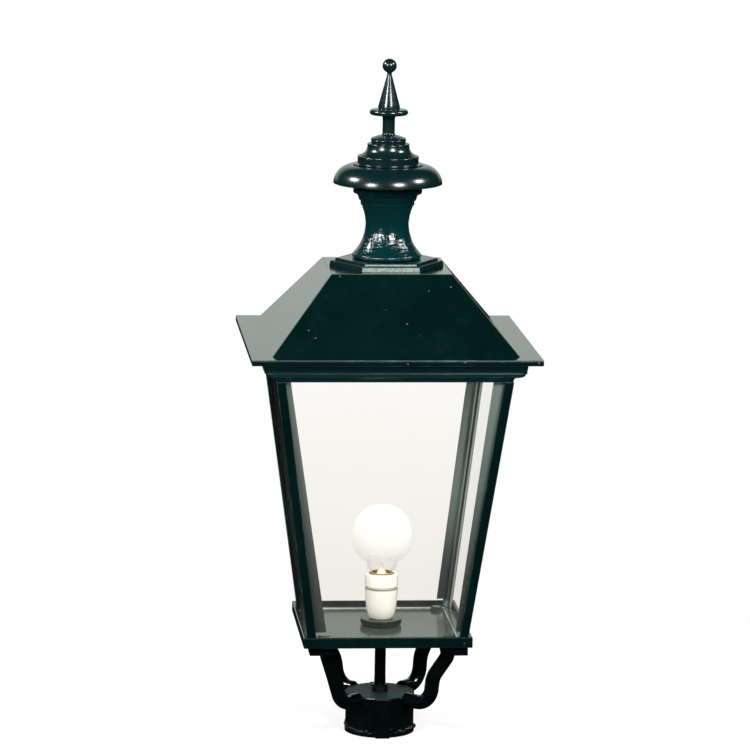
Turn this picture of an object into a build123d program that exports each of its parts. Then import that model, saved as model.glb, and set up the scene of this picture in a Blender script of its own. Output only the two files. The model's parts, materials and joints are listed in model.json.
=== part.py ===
"""Post top lantern: a square glazed lantern that tapers down to a tray on four arms.

Millimetres, +Z up.  The origin is the centre of the post socket's open mouth,
and the side that faces the viewer is -Y.
"""

from build123d import *
import math
import os

os.makedirs("parts", exist_ok=True)

# ---------------------------------------------------------------- driving dimensions
# Post socket, hub and the pipe that clamps the lower half together
socket_radius = 44.0
socket_bore_radius = 38.4
socket_height = 40.0
socket_web = 6.0
socket_recess_radius = 26.0
spigot_gap = 0.5
socket_bead_height = 4.5
socket_bead_proud = 0.8
boss_width = 18.0
boss_reach = 48.5
set_screw_count = 2
set_screw_radius = 3.95
set_screw_length = 9.2
set_screw_height = 17.0
set_screw_key = 2.0
screw_clearance = 0.05
hub_radius = 44.5
hub_thickness = 11.5
hub_edge = 1.0
pipe_radius = 7.2
pipe_wall = 1.5
pipe_clearance = 0.2
pipe_nut_flats = 24.0
pipe_nut_height = 6.0
pipe_tail = 3.0
hub_nut_flats = 18.0
hub_nut_height = 9.0

# Arms that carry the tray, one on each diagonal.  They are bent by hand, so they
# differ: reach from the post's axis at the elbow and at the knee, and how far in
# from the tray's corner the top stands.
arm_shapes = {
    "front_left": (76.0, 91.0, 46.0),
    "front_right": (83.0, 87.5, 40.5),
    "back_left": (70.0, 77.0, 40.5),
    "back_right": (79.0, 82.0, 46.0),
}
arm_radius = 9.35
arm_axis_height = 47.0
arm_knee_height = 84.0
arm_top_straight = 6.0
arm_elbow_bend = 24.0
arm_knee_bend = 30.0
arm_top_bend = 12.0
pad_width = 33.0
pad_thickness = 11.0
pad_corner = 2.5
pad_insets = {
    "front_left": 8.4,
    "front_right": 5.0,
    "back_left": 5.0,
    "back_right": 5.0,
}

# Tray
tray_height = 132.1
tray_half = 106.8
tray_floor = 6.4
tray_rim = 7.6
tray_rim_width = 4.0
tray_edge = 1.0
corner_bolt_inset = 27.8
corner_bolt_radius = 4.0
corner_bolt_depth = 24.0
corner_bolt_flats = 13.0
corner_bolt_head = 5.3
rail_width = 3.0
rail_height = 3.0

# Glazed cage
cage_foot_gap = 1.6
cage_top_half = 147.6
cage_height = 340.7
post_leg = 11.7
post_wall = 4.0
glass_thickness = 3.0
glazing_gap = 0.3
glass_corner_gap = 1.0
glass_top_inset = 9.0
bead_wall = 2.0
bead_lift = 12.0
bead_reach_mean = 21.2

# Top frame (cornice), as half widths and depths below the roof
frame_overhang = 16.4
frame_rise = 31.0
frame_ovolo_in = 6.2
frame_cove_in = 10.3
frame_cove_drop = 7.2
frame_corner = 9.0
frame_seat_gap = 0.3

# Lampholder
base_disc_radius = 26.5
base_disc_height = 9.2
base_disc_bevel = 3.0
holder_foot_radius = 14.4
holder_belly_radius = 20.2
holder_top_radius = 21.3
holder_cup_height = 39.3
holder_groove = 2.6
holder_groove_depth = 2.0
holder_ring_height = 16.6
holder_mouth_radius = 16.2
holder_floor_height = 17.3
holder_floor_thickness = 5.0
holder_cavity_radius = 12.0
lamp_shell_radius = 14.3
lamp_shell_wall = 0.7
lamp_shell_drop = 2.6
contact_rise = 11.5
contact_width = 6.0
contact_strip = 0.8
terminal_length = 14.0
terminal_width = 9.0
terminal_height = 6.0
terminal_pitch = 7.0
terminal_screw_radius = 1.5

# Lamp
bulb_radius = 40.0
bulb_centre_rise = 49.4
bulb_wall = 1.0
bulb_neck_radius = 19.2
bulb_neck_lift = 2.6
cap_radius = 12.7
cap_thread = 0.5
cap_pitch = 3.63
cap_thread_turns = 5
cap_above_rim = 1.6
cap_length = 24.0
cap_wall = 0.4
insulator_radius = 10.6
insulator_tip_radius = 4.6
tip_height = 1.8
tip_gap = 0.3
stem_seat = 9.0
stem_foot_radius = 8.0
stem_tip_radius = 2.6
stem_height = 34.0
lead_radius = 0.5
lead_spread = 9.0
lead_height = 30.0

# Roof
brim_overhang = 16.0
brim_width = 26.5
sheet = 1.5
hem_depth = 7.2
hem_width = 14.0
hem_mitre_gap = 1.8
roof_top_half = 75.7
roof_rise = 91.9
vent_bore_radius = 23.6
plinth_lower_radius = 72.8
plinth_lower_height = 6.7
plinth_upper_radius = 65.5
plinth_upper_height = 3.3
plinth_edge = 0.8
plinth_draft = 10.0

# Chimney neck
bead_radius = 44.0
bead_height = 7.0
neck_foot_radius = 41.7
neck_waist_radius = 27.4
neck_waist_rise = 43.5
neck_swell = 4.6
neck_head_radius = 32.6
neck_edge = 1.0
neck_height = 67.8
ring_one_radius = 34.0
ring_one_height = 5.0
ring_two_foot_radius = 35.8
ring_two_top_radius = 38.3
ring_two_height = 9.2
crown_ring_radius = 43.7
crown_ring_height = 7.6
crown_ring_edge = 2.0

# Vent cap
vent_gap = 4.6
cap_rib_count = 3
cap_rib_width = 5.0
cap_rib_inner = 27.0
dome_lip_radius = 66.8
dome_lip_height = 0.8
dome_foot_radius = 68.8
dome_top_radius = 43.4
dome_height = 23.5
dome_collar_radius = 44.6
dome_collar_height = 1.2
dome_wall = 3.6
cap_ring_radius = 38.5
cap_ring_height = 5.0
cap_ring_step = 3.7
bell_foot_radius = 34.7
bell_foot_height = 2.4
bell_waist_radius = 28.4
bell_top_radius = 26.0
bell_height = 14.0
neck_ring_radius = 21.7
neck_ring_height = 7.5
cap_crown_rise = 2.6

# Finial
finial_foot_radius = 14.5
finial_flare_height = 4.0
finial_stem_radius = 7.8
finial_stem_height = 17.6
finial_cove_height = 4.7
finial_cove_radius = 14.0
finial_disc_radius = 24.3
finial_disc_thickness = 7.2
finial_lip_height = 3.4
finial_cone_radius = 13.75
finial_cone_height = 40.2
finial_neck_radius = 3.0
finial_neck_height = 2.7
finial_ball_radius = 9.0

# Tie rod that holds the roof, chimney, cap and finial together
rod_radius = 4.0
rod_into_finial = 30.0
rod_clearance = 0.3
rod_tail = 3.0
clamp_length = 128.0
clamp_width = 24.0
clamp_thickness = 4.0
washer_radius = 9.5
washer_thickness = 1.6
rod_nut_flats = 13.0
rod_nut_height = 6.5

# Roof hinges at the back, in a pair
hinge_offset = 95.0
hinge_reach = 8.5
hinge_axis_drop = 14.5
hinge_pin_radius = 2.5
hinge_running_gap = 0.06
knuckle_radius = 4.2
knuckle_width = 14.0
hinge_side_gap = 0.4
lug_width = 8.0
lug_radius = 4.0
leaf_width = 34.0
leaf_thickness = 1.8
knuckle_web = 4.0
pin_overhang = 1.2

# Earth terminal in the tray
earth_screw_radius = 2.5
earth_screw_head = 4.5
earth_screw_height = 3.0
earth_screw_reach = 48.0

# ---------------------------------------------------------------- heights that follow
hub_top = socket_height + hub_thickness
web_under = socket_height - socket_web
pipe_foot = web_under - pipe_nut_height - pipe_tail
socket_seat = pipe_foot - spigot_gap
floor_height = tray_height + tray_floor
tray_rim_inner_half = tray_half - tray_rim_width
corner_bolt_reach = tray_half - corner_bolt_inset
cage_foot_half = tray_rim_inner_half - cage_foot_gap
frame_height = floor_height + cage_height
lean = (cage_top_half - cage_foot_half) / cage_height
frame_top = frame_height + frame_rise
frame_top_half = cage_top_half + frame_overhang
brim_under = frame_top + frame_seat_gap
brim_height = brim_under + sheet
brim_half = frame_top_half + brim_overhang
hem_height = brim_height - hem_depth
roof_base_half = brim_half - brim_width
roof_top = brim_height + roof_rise
roof_slope = (roof_base_half - roof_top_half) / roof_rise
sheet_across = sheet * math.hypot(1, roof_slope)
plinth_top = roof_top + plinth_lower_height + plinth_upper_height
chimney_top = plinth_top + neck_height + ring_one_height + ring_two_height + crown_ring_height
cap_height = chimney_top + vent_gap
holder_height = floor_height + base_disc_height
holder_cup_top = holder_height + holder_cup_height
holder_rim = holder_cup_top + holder_groove + holder_ring_height
holder_floor = holder_height + holder_floor_height
bulb_centre = holder_rim + bulb_centre_rise
hinge_height = brim_height - hinge_axis_drop
hinge_axis_reach = frame_top_half + hinge_reach


def cage_half(height):
    """Half width of the cage's outer faces at a height."""
    return cage_foot_half + (height - floor_height) * lean


def roof_half(height):
    """Half width of the roof's outer faces at a height."""
    return roof_base_half - (height - brim_height) * roof_slope


# ---------------------------------------------------------------- post socket and hub
with BuildPart() as post_socket:
    with BuildSketch(Plane.XZ):
        with BuildLine():
            Polyline(
                (socket_bore_radius, 0),
                (socket_radius + socket_bead_proud, 0),
                (socket_radius + socket_bead_proud, socket_bead_height),
                (socket_radius, socket_bead_height + socket_bead_proud),
                (socket_radius, socket_height),
                (pipe_radius + pipe_clearance, socket_height),
                (pipe_radius + pipe_clearance, web_under),
                (socket_recess_radius, web_under),
                (socket_recess_radius, socket_seat),
                (socket_bore_radius, socket_seat),
                close=True,
            )
        make_face()
    revolve(axis=Axis.Z)
    with BuildSketch():
        with PolarLocations(0, set_screw_count, start_angle=-90):
            Rectangle(boss_reach, boss_width, align=(Align.MIN, Align.CENTER))
        Circle(socket_bore_radius, mode=Mode.SUBTRACT)
    extrude(amount=socket_height)
    with PolarLocations(0, set_screw_count, start_angle=-90):
        with Locations((socket_radius, 0, set_screw_height)):
            Cylinder(
                set_screw_radius + screw_clearance,
                boss_width + socket_bore_radius,
                rotation=(0, 90, 0),
                mode=Mode.SUBTRACT,
            )
post_socket.part.label = "post_socket"
export_step(post_socket.part, "parts/post_socket.step")

set_screw_middle = socket_bore_radius + (boss_reach - socket_bore_radius) / 2
for number in range(set_screw_count):
    turn = math.radians(-90 + number * 360 / set_screw_count)
    outward = Vector(math.cos(turn), math.sin(turn), 0)
    middle = outward * set_screw_middle + Vector(0, 0, set_screw_height)
    with BuildPart() as set_screw:
        with BuildSketch(Plane(middle, z_dir=outward)):
            Circle(set_screw_radius)
        extrude(amount=set_screw_length / 2, both=True)
        with BuildSketch(Plane(middle + outward * set_screw_length / 2, z_dir=outward)):
            RegularPolygon(set_screw_key, 6)
        extrude(amount=-set_screw_length / 2, mode=Mode.SUBTRACT)
    name = f"set_screw_{number + 1}"
    set_screw.part.label = name
    export_step(set_screw.part, f"parts/{name}.step")

with BuildPart() as hub_plate:
    with BuildSketch(Plane.XY.offset(socket_height)):
        Circle(hub_radius)
        with PolarLocations(0, set_screw_count, start_angle=-90):
            Rectangle(boss_reach, boss_width, align=(Align.MIN, Align.CENTER))
        Circle(pipe_radius + pipe_clearance, mode=Mode.SUBTRACT)
    extrude(amount=hub_thickness)
    chamfer(hub_plate.edges().group_by(Axis.Z)[-1], length=hub_edge)
hub_plate.part.label = "hub_plate"
export_step(hub_plate.part, "parts/hub_plate.step")

with BuildPart() as conduit_pipe:
    with BuildSketch(Plane.XY.offset(pipe_foot)):
        Circle(pipe_radius)
        Circle(pipe_radius - pipe_wall, mode=Mode.SUBTRACT)
    extrude(amount=holder_height + pipe_tail - pipe_foot)
conduit_pipe.part.label = "conduit_pipe"
export_step(conduit_pipe.part, "parts/conduit_pipe.step")

# Foot, width across the flats and height of each nut on the pipe.
pipe_nuts = {
    "pipe_nut_socket": (web_under - pipe_nut_height, pipe_nut_flats, pipe_nut_height),
    "pipe_nut_hub": (hub_top, hub_nut_flats, hub_nut_height),
    "pipe_nut_tray": (tray_height - pipe_nut_height, pipe_nut_flats, pipe_nut_height),
}
for name, (foot, flats, height) in pipe_nuts.items():
    with BuildPart() as pipe_nut:
        with BuildSketch(Plane.XY.offset(foot)):
            RegularPolygon(flats / 2, 6, major_radius=False)
            Circle(pipe_radius, mode=Mode.SUBTRACT)
        extrude(amount=height)
    pipe_nut.part.label = name
    export_step(pipe_nut.part, f"parts/{name}.step")

# ---------------------------------------------------------------- arms
corners = {
    "front_left": (-1, -1),
    "front_right": (1, -1),
    "back_left": (-1, 1),
    "back_right": (1, 1),
}
pad_foot = tray_height - pad_thickness
for corner, (side_x, side_y) in corners.items():
    elbow_reach, knee_reach, top_inset = arm_shapes[corner]
    top_reach = math.hypot(tray_half, tray_half) - top_inset
    pad_middle = tray_half - pad_insets[corner] - pad_width / 2
    along = Vector(side_x, side_y, 0).normalized()
    arm_plane = Plane((0, 0, 0), x_dir=along, z_dir=along.cross(Vector(0, 0, 1)))
    with BuildPart() as arm:
        with BuildLine(arm_plane) as arm_path:
            FilletPolyline(
                (top_reach, pad_foot + pad_thickness / 2),
                (top_reach, pad_foot - arm_top_straight),
                (knee_reach, arm_knee_height),
                (elbow_reach, arm_axis_height),
                (hub_radius / 2, arm_axis_height),
                radius=[arm_top_bend, arm_knee_bend, arm_elbow_bend],
            )
        with BuildSketch(Plane(arm_path.line @ 0, z_dir=arm_path.line % 0)):
            Circle(arm_radius)
        sweep(path=arm_path.line)
        with BuildSketch():
            Circle(hub_radius)
        extrude(amount=hub_top + arm_radius, mode=Mode.SUBTRACT)
        with BuildSketch(Plane.XY.offset(pad_foot)):
            with Locations((side_x * pad_middle, side_y * pad_middle)):
                RectangleRounded(pad_width, pad_width, pad_corner)
        extrude(amount=pad_thickness)
        with BuildSketch(Plane.XY.offset(tray_height)):
            with Locations((side_x * corner_bolt_reach, side_y * corner_bolt_reach)):
                Circle(corner_bolt_radius)
        extrude(amount=tray_floor - corner_bolt_depth, mode=Mode.SUBTRACT)
    name = f"arm_{corner}"
    arm.part.label = name
    export_step(arm.part, f"parts/{name}.step")

# ---------------------------------------------------------------- tray and its fasteners
with BuildPart() as tray:
    with BuildSketch(Plane.XY.offset(tray_height)):
        Rectangle(2 * tray_half, 2 * tray_half)
    extrude(amount=tray_floor + tray_rim)
    chamfer(tray.edges().group_by(Axis.Z)[0], length=tray_edge)
    chamfer(tray.edges().group_by(Axis.Z)[-1], length=tray_edge)
    with BuildSketch(Plane.XY.offset(floor_height)):
        Rectangle(2 * tray_rim_inner_half, 2 * tray_rim_inner_half)
    extrude(amount=tray_rim, mode=Mode.SUBTRACT)
    with BuildSketch(Plane.XY.offset(tray_height)):
        Circle(pipe_radius + pipe_clearance)
        with GridLocations(2 * corner_bolt_reach, 2 * corner_bolt_reach, 2, 2):
            Circle(corner_bolt_radius)
        with Locations((0, earth_screw_reach)):
            Circle(earth_screw_radius)
    extrude(amount=tray_floor, mode=Mode.SUBTRACT)
tray.part.label = "tray"
export_step(tray.part, "parts/tray.step")

with BuildPart() as corner_bolts:
    with BuildSketch(Plane.XY.offset(floor_height)):
        with GridLocations(2 * corner_bolt_reach, 2 * corner_bolt_reach, 2, 2):
            RegularPolygon(corner_bolt_flats / 2, 6, major_radius=False)
    extrude(amount=corner_bolt_head)
    with BuildSketch(Plane.XY.offset(floor_height)):
        with GridLocations(2 * corner_bolt_reach, 2 * corner_bolt_reach, 2, 2):
            Circle(corner_bolt_radius)
    extrude(amount=-corner_bolt_depth)
corner_bolts.part.label = "corner_bolts"
export_step(corner_bolts.part, "parts/corner_bolts.step")

with BuildPart() as earth_screw:
    with BuildSketch(Plane.XY.offset(tray_height)):
        with Locations((0, earth_screw_reach)):
            Circle(earth_screw_radius)
    extrude(amount=tray_floor)
    with BuildSketch(Plane.XY.offset(floor_height)):
        with Locations((0, earth_screw_reach)):
            Circle(earth_screw_head)
    extrude(amount=earth_screw_height)
earth_screw.part.label = "earth_screw"
export_step(earth_screw.part, "parts/earth_screw.step")

rail_half = cage_foot_half - post_wall - glass_thickness - 2 * glazing_gap
with BuildPart() as glass_rail:
    with BuildSketch(Plane.XY.offset(floor_height)):
        Rectangle(2 * rail_half, 2 * rail_half)
        Rectangle(2 * (rail_half - rail_width), 2 * (rail_half - rail_width), mode=Mode.SUBTRACT)
    extrude(amount=rail_height)
glass_rail.part.label = "glass_rail"
export_step(glass_rail.part, "parts/glass_rail.step")


# ---------------------------------------------------------------- posts and glazing beads
def angle_bar(side_x, side_y, low, high, inset, wall, low_legs, high_legs):
    """An angle bar that leans with a corner of the cage, from one height to another.

    Its outer faces lie inset behind the cage's, and its legs are measured from the
    cage's own corner: (along X, along Y) at the low end and at the high end.
    """
    with BuildPart() as bar:
        for height, legs in ((low, low_legs), (high, high_legs)):
            corner_at = cage_half(height)
            outer = corner_at - inset
            outline = [
                (outer, outer),
                (corner_at - legs[0], outer),
                (corner_at - legs[0], outer - wall),
                (outer - wall, outer - wall),
                (outer - wall, corner_at - legs[1]),
                (outer, corner_at - legs[1]),
            ]
            with BuildSketch(Plane.XY.offset(height)):
                with BuildLine():
                    Polyline(*[(side_x * x, side_y * y) for x, y in outline], close=True)
                make_face()
        loft(ruled=True)
    return bar.part


for corner, (side_x, side_y) in corners.items():
    legs = (post_leg, post_leg)
    post = angle_bar(side_x, side_y, floor_height, frame_height, 0, post_wall, legs, legs)
    name = f"post_{corner}"
    post.label = name
    export_step(post, f"parts/{name}.step")

bead_inset = post_wall + glass_thickness + 2 * glazing_gap
bead_top = brim_under - glass_top_inset
bead_legs = {
    "front_left": ((25.3, bead_reach_mean), (17.7, bead_reach_mean)),
    "front_right": ((16.8, bead_reach_mean), (25.3, bead_reach_mean)),
    "back_left": ((bead_reach_mean, bead_reach_mean), (bead_reach_mean, bead_reach_mean)),
    "back_right": ((bead_reach_mean, bead_reach_mean), (bead_reach_mean, bead_reach_mean)),
}
for corner, (side_x, side_y) in corners.items():
    low = floor_height + bead_lift
    low_legs, high_legs = bead_legs[corner]
    bead = angle_bar(side_x, side_y, low, bead_top, bead_inset, bead_wall, low_legs, high_legs)
    name = f"glazing_bead_{corner}"
    bead.label = name
    export_step(bead, f"parts/{name}.step")

# ---------------------------------------------------------------- glass
for number, pane in enumerate(("front", "right", "back", "left")):
    with BuildPart() as glass:
        for height in (floor_height + glazing_gap, bead_top):
            face = cage_half(height) - post_wall - glazing_gap
            half = face - glass_thickness - glass_corner_gap
            with BuildSketch(Plane.XY.offset(height).rotated((0, 0, 90 * number))):
                with Locations((0, -face + glass_thickness / 2)):
                    Rectangle(2 * half, glass_thickness)
        loft(ruled=True)
    name = f"glass_{pane}"
    glass.part.label = name
    export_step(glass.part, f"parts/{name}.step")

# ---------------------------------------------------------------- top frame
frame_levels = [(frame_top_half, frame_top), (frame_top_half, hem_height)]
ovolo_steps = 4
for step in range(1, ovolo_steps + 1):
    sweep_angle = math.radians(90 * step / ovolo_steps)
    drop = (hem_height - frame_height - frame_cove_drop) * math.sin(sweep_angle)
    inward = frame_ovolo_in * (1 - math.cos(sweep_angle))
    frame_levels.append((frame_top_half - inward, hem_height - drop))
cove_steps = 4
for step in range(1, cove_steps + 1):
    sweep_angle = math.radians(90 * step / cove_steps)
    inward = frame_cove_in * math.sin(sweep_angle)
    drop = frame_cove_drop * (1 - math.cos(sweep_angle))
    frame_levels.append((frame_levels[ovolo_steps + 1][0] - inward, frame_height + frame_cove_drop - drop))

with BuildPart() as top_frame:
    for half, height in frame_levels:
        with BuildSketch(Plane.XY.offset(height)):
            RectangleRounded(2 * half, 2 * half, frame_corner)
    loft(ruled=True)
    for hinge_x in (-hinge_offset, hinge_offset):
        lug_middle = (knuckle_width + lug_width) / 2 + hinge_side_gap
        for lug_x in (hinge_x - lug_middle, hinge_x + lug_middle):
            with BuildSketch(Plane.YZ.offset(lug_x)):
                with Locations((hinge_axis_reach, hinge_height)):
                    Circle(lug_radius)
                    Rectangle(
                        hinge_reach + frame_ovolo_in,
                        2 * lug_radius,
                        align=(Align.MAX, Align.CENTER),
                    )
                    Circle(hinge_pin_radius, mode=Mode.SUBTRACT)
            extrude(amount=lug_width / 2, both=True)
    for height in (frame_height, frame_top):
        inner = cage_half(height) - post_wall
        with BuildSketch(Plane.XY.offset(height)):
            Rectangle(2 * inner, 2 * inner)
    loft(ruled=True, mode=Mode.SUBTRACT)
top_frame.part.label = "top_frame"
export_step(top_frame.part, "parts/top_frame.step")

# ---------------------------------------------------------------- roof hinges
pin_half = knuckle_width / 2 + hinge_side_gap + lug_width + pin_overhang
with BuildPart() as hinge_pins:
    for hinge_x in (-hinge_offset, hinge_offset):
        with BuildSketch(Plane.YZ.offset(hinge_x)):
            with Locations((hinge_axis_reach, hinge_height)):
                Circle(hinge_pin_radius)
        extrude(amount=pin_half, both=True)
hinge_pins.part.label = "hinge_pins"
export_step(hinge_pins.part, "parts/hinge_pins.step")

hem_inner = brim_half - hem_width
with BuildPart() as hinge_leaves:
    for hinge_x in (-hinge_offset, hinge_offset):
        with BuildSketch(Plane.XY.offset(hem_height)):
            with Locations((hinge_x, hem_inner)):
                Rectangle(leaf_width, hem_width, align=(Align.CENTER, Align.MIN))
        extrude(amount=-leaf_thickness)
        with BuildSketch(Plane.YZ.offset(hinge_x)):
            with Locations((hinge_axis_reach, hinge_height)):
                Circle(knuckle_radius)
                Rectangle(
                    knuckle_web,
                    hem_height - leaf_thickness - hinge_height,
                    align=(Align.CENTER, Align.MIN),
                )
                Circle(hinge_pin_radius + hinge_running_gap, mode=Mode.SUBTRACT)
        extrude(amount=knuckle_width / 2, both=True)
hinge_leaves.part.label = "hinge_leaves"
export_step(hinge_leaves.part, "parts/hinge_leaves.step")

# ---------------------------------------------------------------- lampholder
with BuildPart() as holder_base:
    with BuildSketch(Plane.XY.offset(floor_height)):
        Circle(base_disc_radius)
        Circle(pipe_radius + pipe_clearance, mode=Mode.SUBTRACT)
    extrude(amount=base_disc_height)
    chamfer(
        holder_base.edges().filter_by(GeomType.CIRCLE).sort_by(SortBy.RADIUS)[-2:].sort_by(Axis.Z)[0],
        length=base_disc_bevel,
    )
holder_base.part.label = "holder_base"
export_step(holder_base.part, "parts/holder_base.step")

with BuildPart() as lampholder_body:
    with BuildSketch(Plane.XZ):
        with BuildLine():
            foot = (holder_foot_radius, holder_height)
            shoulder = (holder_top_radius, holder_cup_top)
            Spline(
                foot,
                (holder_belly_radius, holder_height + holder_cup_height * 0.6),
                shoulder,
                tangents=[(0.7, 1), (0.04, 1)],
            )
            Polyline(
                shoulder,
                (holder_mouth_radius, holder_cup_top),
                (holder_mouth_radius, holder_floor),
                (rod_radius, holder_floor),
                (rod_radius, holder_floor - holder_floor_thickness),
                (holder_cavity_radius, holder_floor - holder_floor_thickness),
                (holder_cavity_radius, holder_height + pipe_tail),
                (pipe_radius, holder_height + pipe_tail),
                (pipe_radius, holder_height),
                foot,
            )
        make_face()
    revolve(axis=Axis.Z)
lampholder_body.part.label = "lampholder_body"
export_step(lampholder_body.part, "parts/lampholder_body.step")

ring_foot = holder_cup_top + holder_groove
with BuildPart() as lampholder_ring:
    with BuildSketch(Plane.XZ):
        with BuildLine():
            Polyline(
                (holder_mouth_radius, holder_cup_top),
                (holder_top_radius - holder_groove_depth, holder_cup_top),
                (holder_top_radius - holder_groove_depth, ring_foot),
                (holder_top_radius, ring_foot),
                (holder_top_radius, holder_rim),
                (holder_mouth_radius, holder_rim),
                close=True,
            )
        make_face()
    revolve(axis=Axis.Z)
    outer_edges = lampholder_ring.edges().filter_by(GeomType.CIRCLE).group_by(SortBy.RADIUS)[-1]
    fillet(outer_edges, radius=holder_groove_depth / 2)
lampholder_ring.part.label = "lampholder_ring"
export_step(lampholder_ring.part, "parts/lampholder_ring.step")

with BuildPart() as lamp_shell:
    with BuildSketch(Plane.XY.offset(holder_floor)):
        Circle(lamp_shell_radius)
        Circle(lamp_shell_radius - lamp_shell_wall, mode=Mode.SUBTRACT)
    extrude(amount=holder_rim - lamp_shell_drop - holder_floor)
    with BuildSketch(Plane.XY.offset(holder_floor)):
        Circle(holder_mouth_radius - glazing_gap)
        Circle(lamp_shell_radius - lamp_shell_wall, mode=Mode.SUBTRACT)
    extrude(amount=lamp_shell_wall)
lamp_shell.part.label = "lamp_shell"
export_step(lamp_shell.part, "parts/lamp_shell.step")

with BuildPart() as centre_contact:
    with BuildSketch(Plane.XZ):
        with BuildLine():
            Polyline(
                (-holder_cavity_radius + 4 * contact_strip, holder_floor + contact_strip / 2),
                (contact_width / 2, holder_floor + contact_strip / 2),
                (contact_width, holder_floor + contact_rise / 2),
                (0, holder_floor + contact_rise - contact_strip / 2),
            )
        trace(line_width=contact_strip)
    extrude(amount=contact_width / 2, both=True)
    with BuildSketch(Plane.XY.offset(holder_floor)):
        Rectangle(4 * socket_radius, 4 * socket_radius)
    extrude(amount=-contact_strip, mode=Mode.SUBTRACT)
centre_contact.part.label = "centre_contact"
export_step(centre_contact.part, "parts/centre_contact.step")

terminal_top = holder_floor - holder_floor_thickness
with BuildPart() as terminal_block:
    with BuildSketch(Plane.XY.offset(terminal_top)):
        Rectangle(terminal_length, terminal_width)
        with GridLocations(terminal_pitch, 0, 2, 1):
            Circle(terminal_screw_radius, mode=Mode.SUBTRACT)
    extrude(amount=-terminal_height)
terminal_block.part.label = "terminal_block"
export_step(terminal_block.part, "parts/terminal_block.step")

with BuildPart() as terminal_screws:
    with BuildSketch(Plane.XY.offset(terminal_top)):
        with GridLocations(terminal_pitch, 0, 2, 1):
            Circle(terminal_screw_radius)
    extrude(amount=-terminal_height)
terminal_screws.part.label = "terminal_screws"
export_step(terminal_screws.part, "parts/terminal_screws.step")

# ---------------------------------------------------------------- lamp
cap_top = holder_rim + cap_above_rim
cap_foot = cap_top - cap_length
tip_foot = holder_floor + contact_rise + tip_gap
tip_top = tip_foot + tip_height
neck_foot = holder_rim + bulb_neck_lift
glass_foot = cap_top - stem_seat


def bulb_outline(inset, foot):
    """Half outline of the glass on the open line builder, inset from its outer face."""
    round_radius = bulb_radius - inset
    neck_radius = bulb_neck_radius - inset
    seat_radius = cap_radius - cap_wall - inset
    join = bulb_centre - math.sqrt(round_radius**2 - neck_radius**2)
    diagonal = round_radius * math.sqrt(0.5)
    Polyline(
        (0, bulb_centre + round_radius),
        (0, foot),
        (seat_radius, foot),
        (seat_radius, cap_top),
        (neck_radius, neck_foot + bulb_neck_lift + inset),
        (neck_radius, join),
    )
    ThreePointArc(
        (neck_radius, join),
        (diagonal, bulb_centre + diagonal),
        (0, bulb_centre + round_radius),
    )


with BuildPart() as bulb_glass:
    with BuildSketch(Plane.XZ):
        with BuildLine():
            bulb_outline(0, glass_foot)
        make_face()
    revolve(axis=Axis.Z)
    with BuildSketch(Plane.XZ):
        with BuildLine():
            bulb_outline(bulb_wall, glass_foot - bulb_wall)
        make_face()
    revolve(axis=Axis.Z, mode=Mode.SUBTRACT)
bulb_glass.part.label = "bulb_glass"
export_step(bulb_glass.part, "parts/bulb_glass.step")

with BuildPart() as bulb_cap:
    with BuildSketch(Plane.XZ):
        with BuildLine():
            Polyline(
                (cap_radius, cap_foot + cap_pitch / 2),
                (insulator_radius, cap_foot),
                (insulator_radius, cap_foot + cap_wall),
                (cap_radius - cap_wall, cap_foot + cap_pitch / 2 + cap_wall),
                (cap_radius - cap_wall, cap_top),
                (cap_radius, cap_top),
                close=True,
            )
        make_face()
        for turn_number in range(1, cap_thread_turns + 1):
            with Locations((cap_radius, cap_foot + cap_pitch * turn_number)):
                Circle(cap_thread)
        with Locations((0, cap_foot)):
            Rectangle(
                cap_radius - cap_wall,
                cap_length,
                align=(Align.MIN, Align.MIN),
                mode=Mode.SUBTRACT,
            )
    revolve(axis=Axis.Z)
bulb_cap.part.label = "bulb_cap"
export_step(bulb_cap.part, "parts/bulb_cap.step")

with BuildPart() as bulb_insulator:
    with BuildSketch(Plane.XZ):
        with BuildLine():
            Polyline(
                (0, tip_top),
                (insulator_tip_radius, tip_top),
                (insulator_radius, cap_foot),
                (0, cap_foot),
                close=True,
            )
        make_face()
    revolve(axis=Axis.Z)
bulb_insulator.part.label = "bulb_insulator"
export_step(bulb_insulator.part, "parts/bulb_insulator.step")

with BuildPart() as bulb_tip:
    with BuildSketch(Plane.XY.offset(tip_foot)):
        Circle(insulator_tip_radius)
    extrude(amount=tip_height)
    fillet(bulb_tip.edges().group_by(Axis.Z)[0], radius=tip_height / 2)
bulb_tip.part.label = "bulb_tip"
export_step(bulb_tip.part, "parts/bulb_tip.step")

with BuildPart() as bulb_stem:
    with BuildSketch(Plane.XZ):
        with BuildLine():
            Polyline(
                (0, glass_foot),
                (cap_radius - cap_wall - bulb_wall, glass_foot),
                (cap_radius - cap_wall - bulb_wall, glass_foot + bulb_wall),
                (stem_foot_radius, glass_foot + 2 * bulb_wall),
                (stem_tip_radius, glass_foot + stem_height / 2),
                (stem_tip_radius, glass_foot + stem_height),
                (0, glass_foot + stem_height),
                close=True,
            )
        make_face()
    revolve(axis=Axis.Z)
bulb_stem.part.label = "bulb_stem"
export_step(bulb_stem.part, "parts/bulb_stem.step")

lead_foot = glass_foot + stem_height + lead_radius
with BuildPart() as bulb_filament:
    for side in (-1, 1):
        with BuildLine() as lead:
            Line(
                (side * stem_tip_radius / 2, 0, lead_foot),
                (side * lead_spread, 0, lead_foot + lead_height),
            )
        with BuildSketch(Plane(lead.line @ 0, z_dir=lead.line % 0)):
            Circle(lead_radius)
        sweep(path=lead.line)
    with BuildSketch(Plane.YZ):
        with Locations((0, lead_foot + lead_height)):
            Circle(2 * lead_radius)
    extrude(amount=lead_spread + lead_radius, both=True)
bulb_filament.part.label = "bulb_filament"
export_step(bulb_filament.part, "parts/bulb_filament.step")

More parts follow.
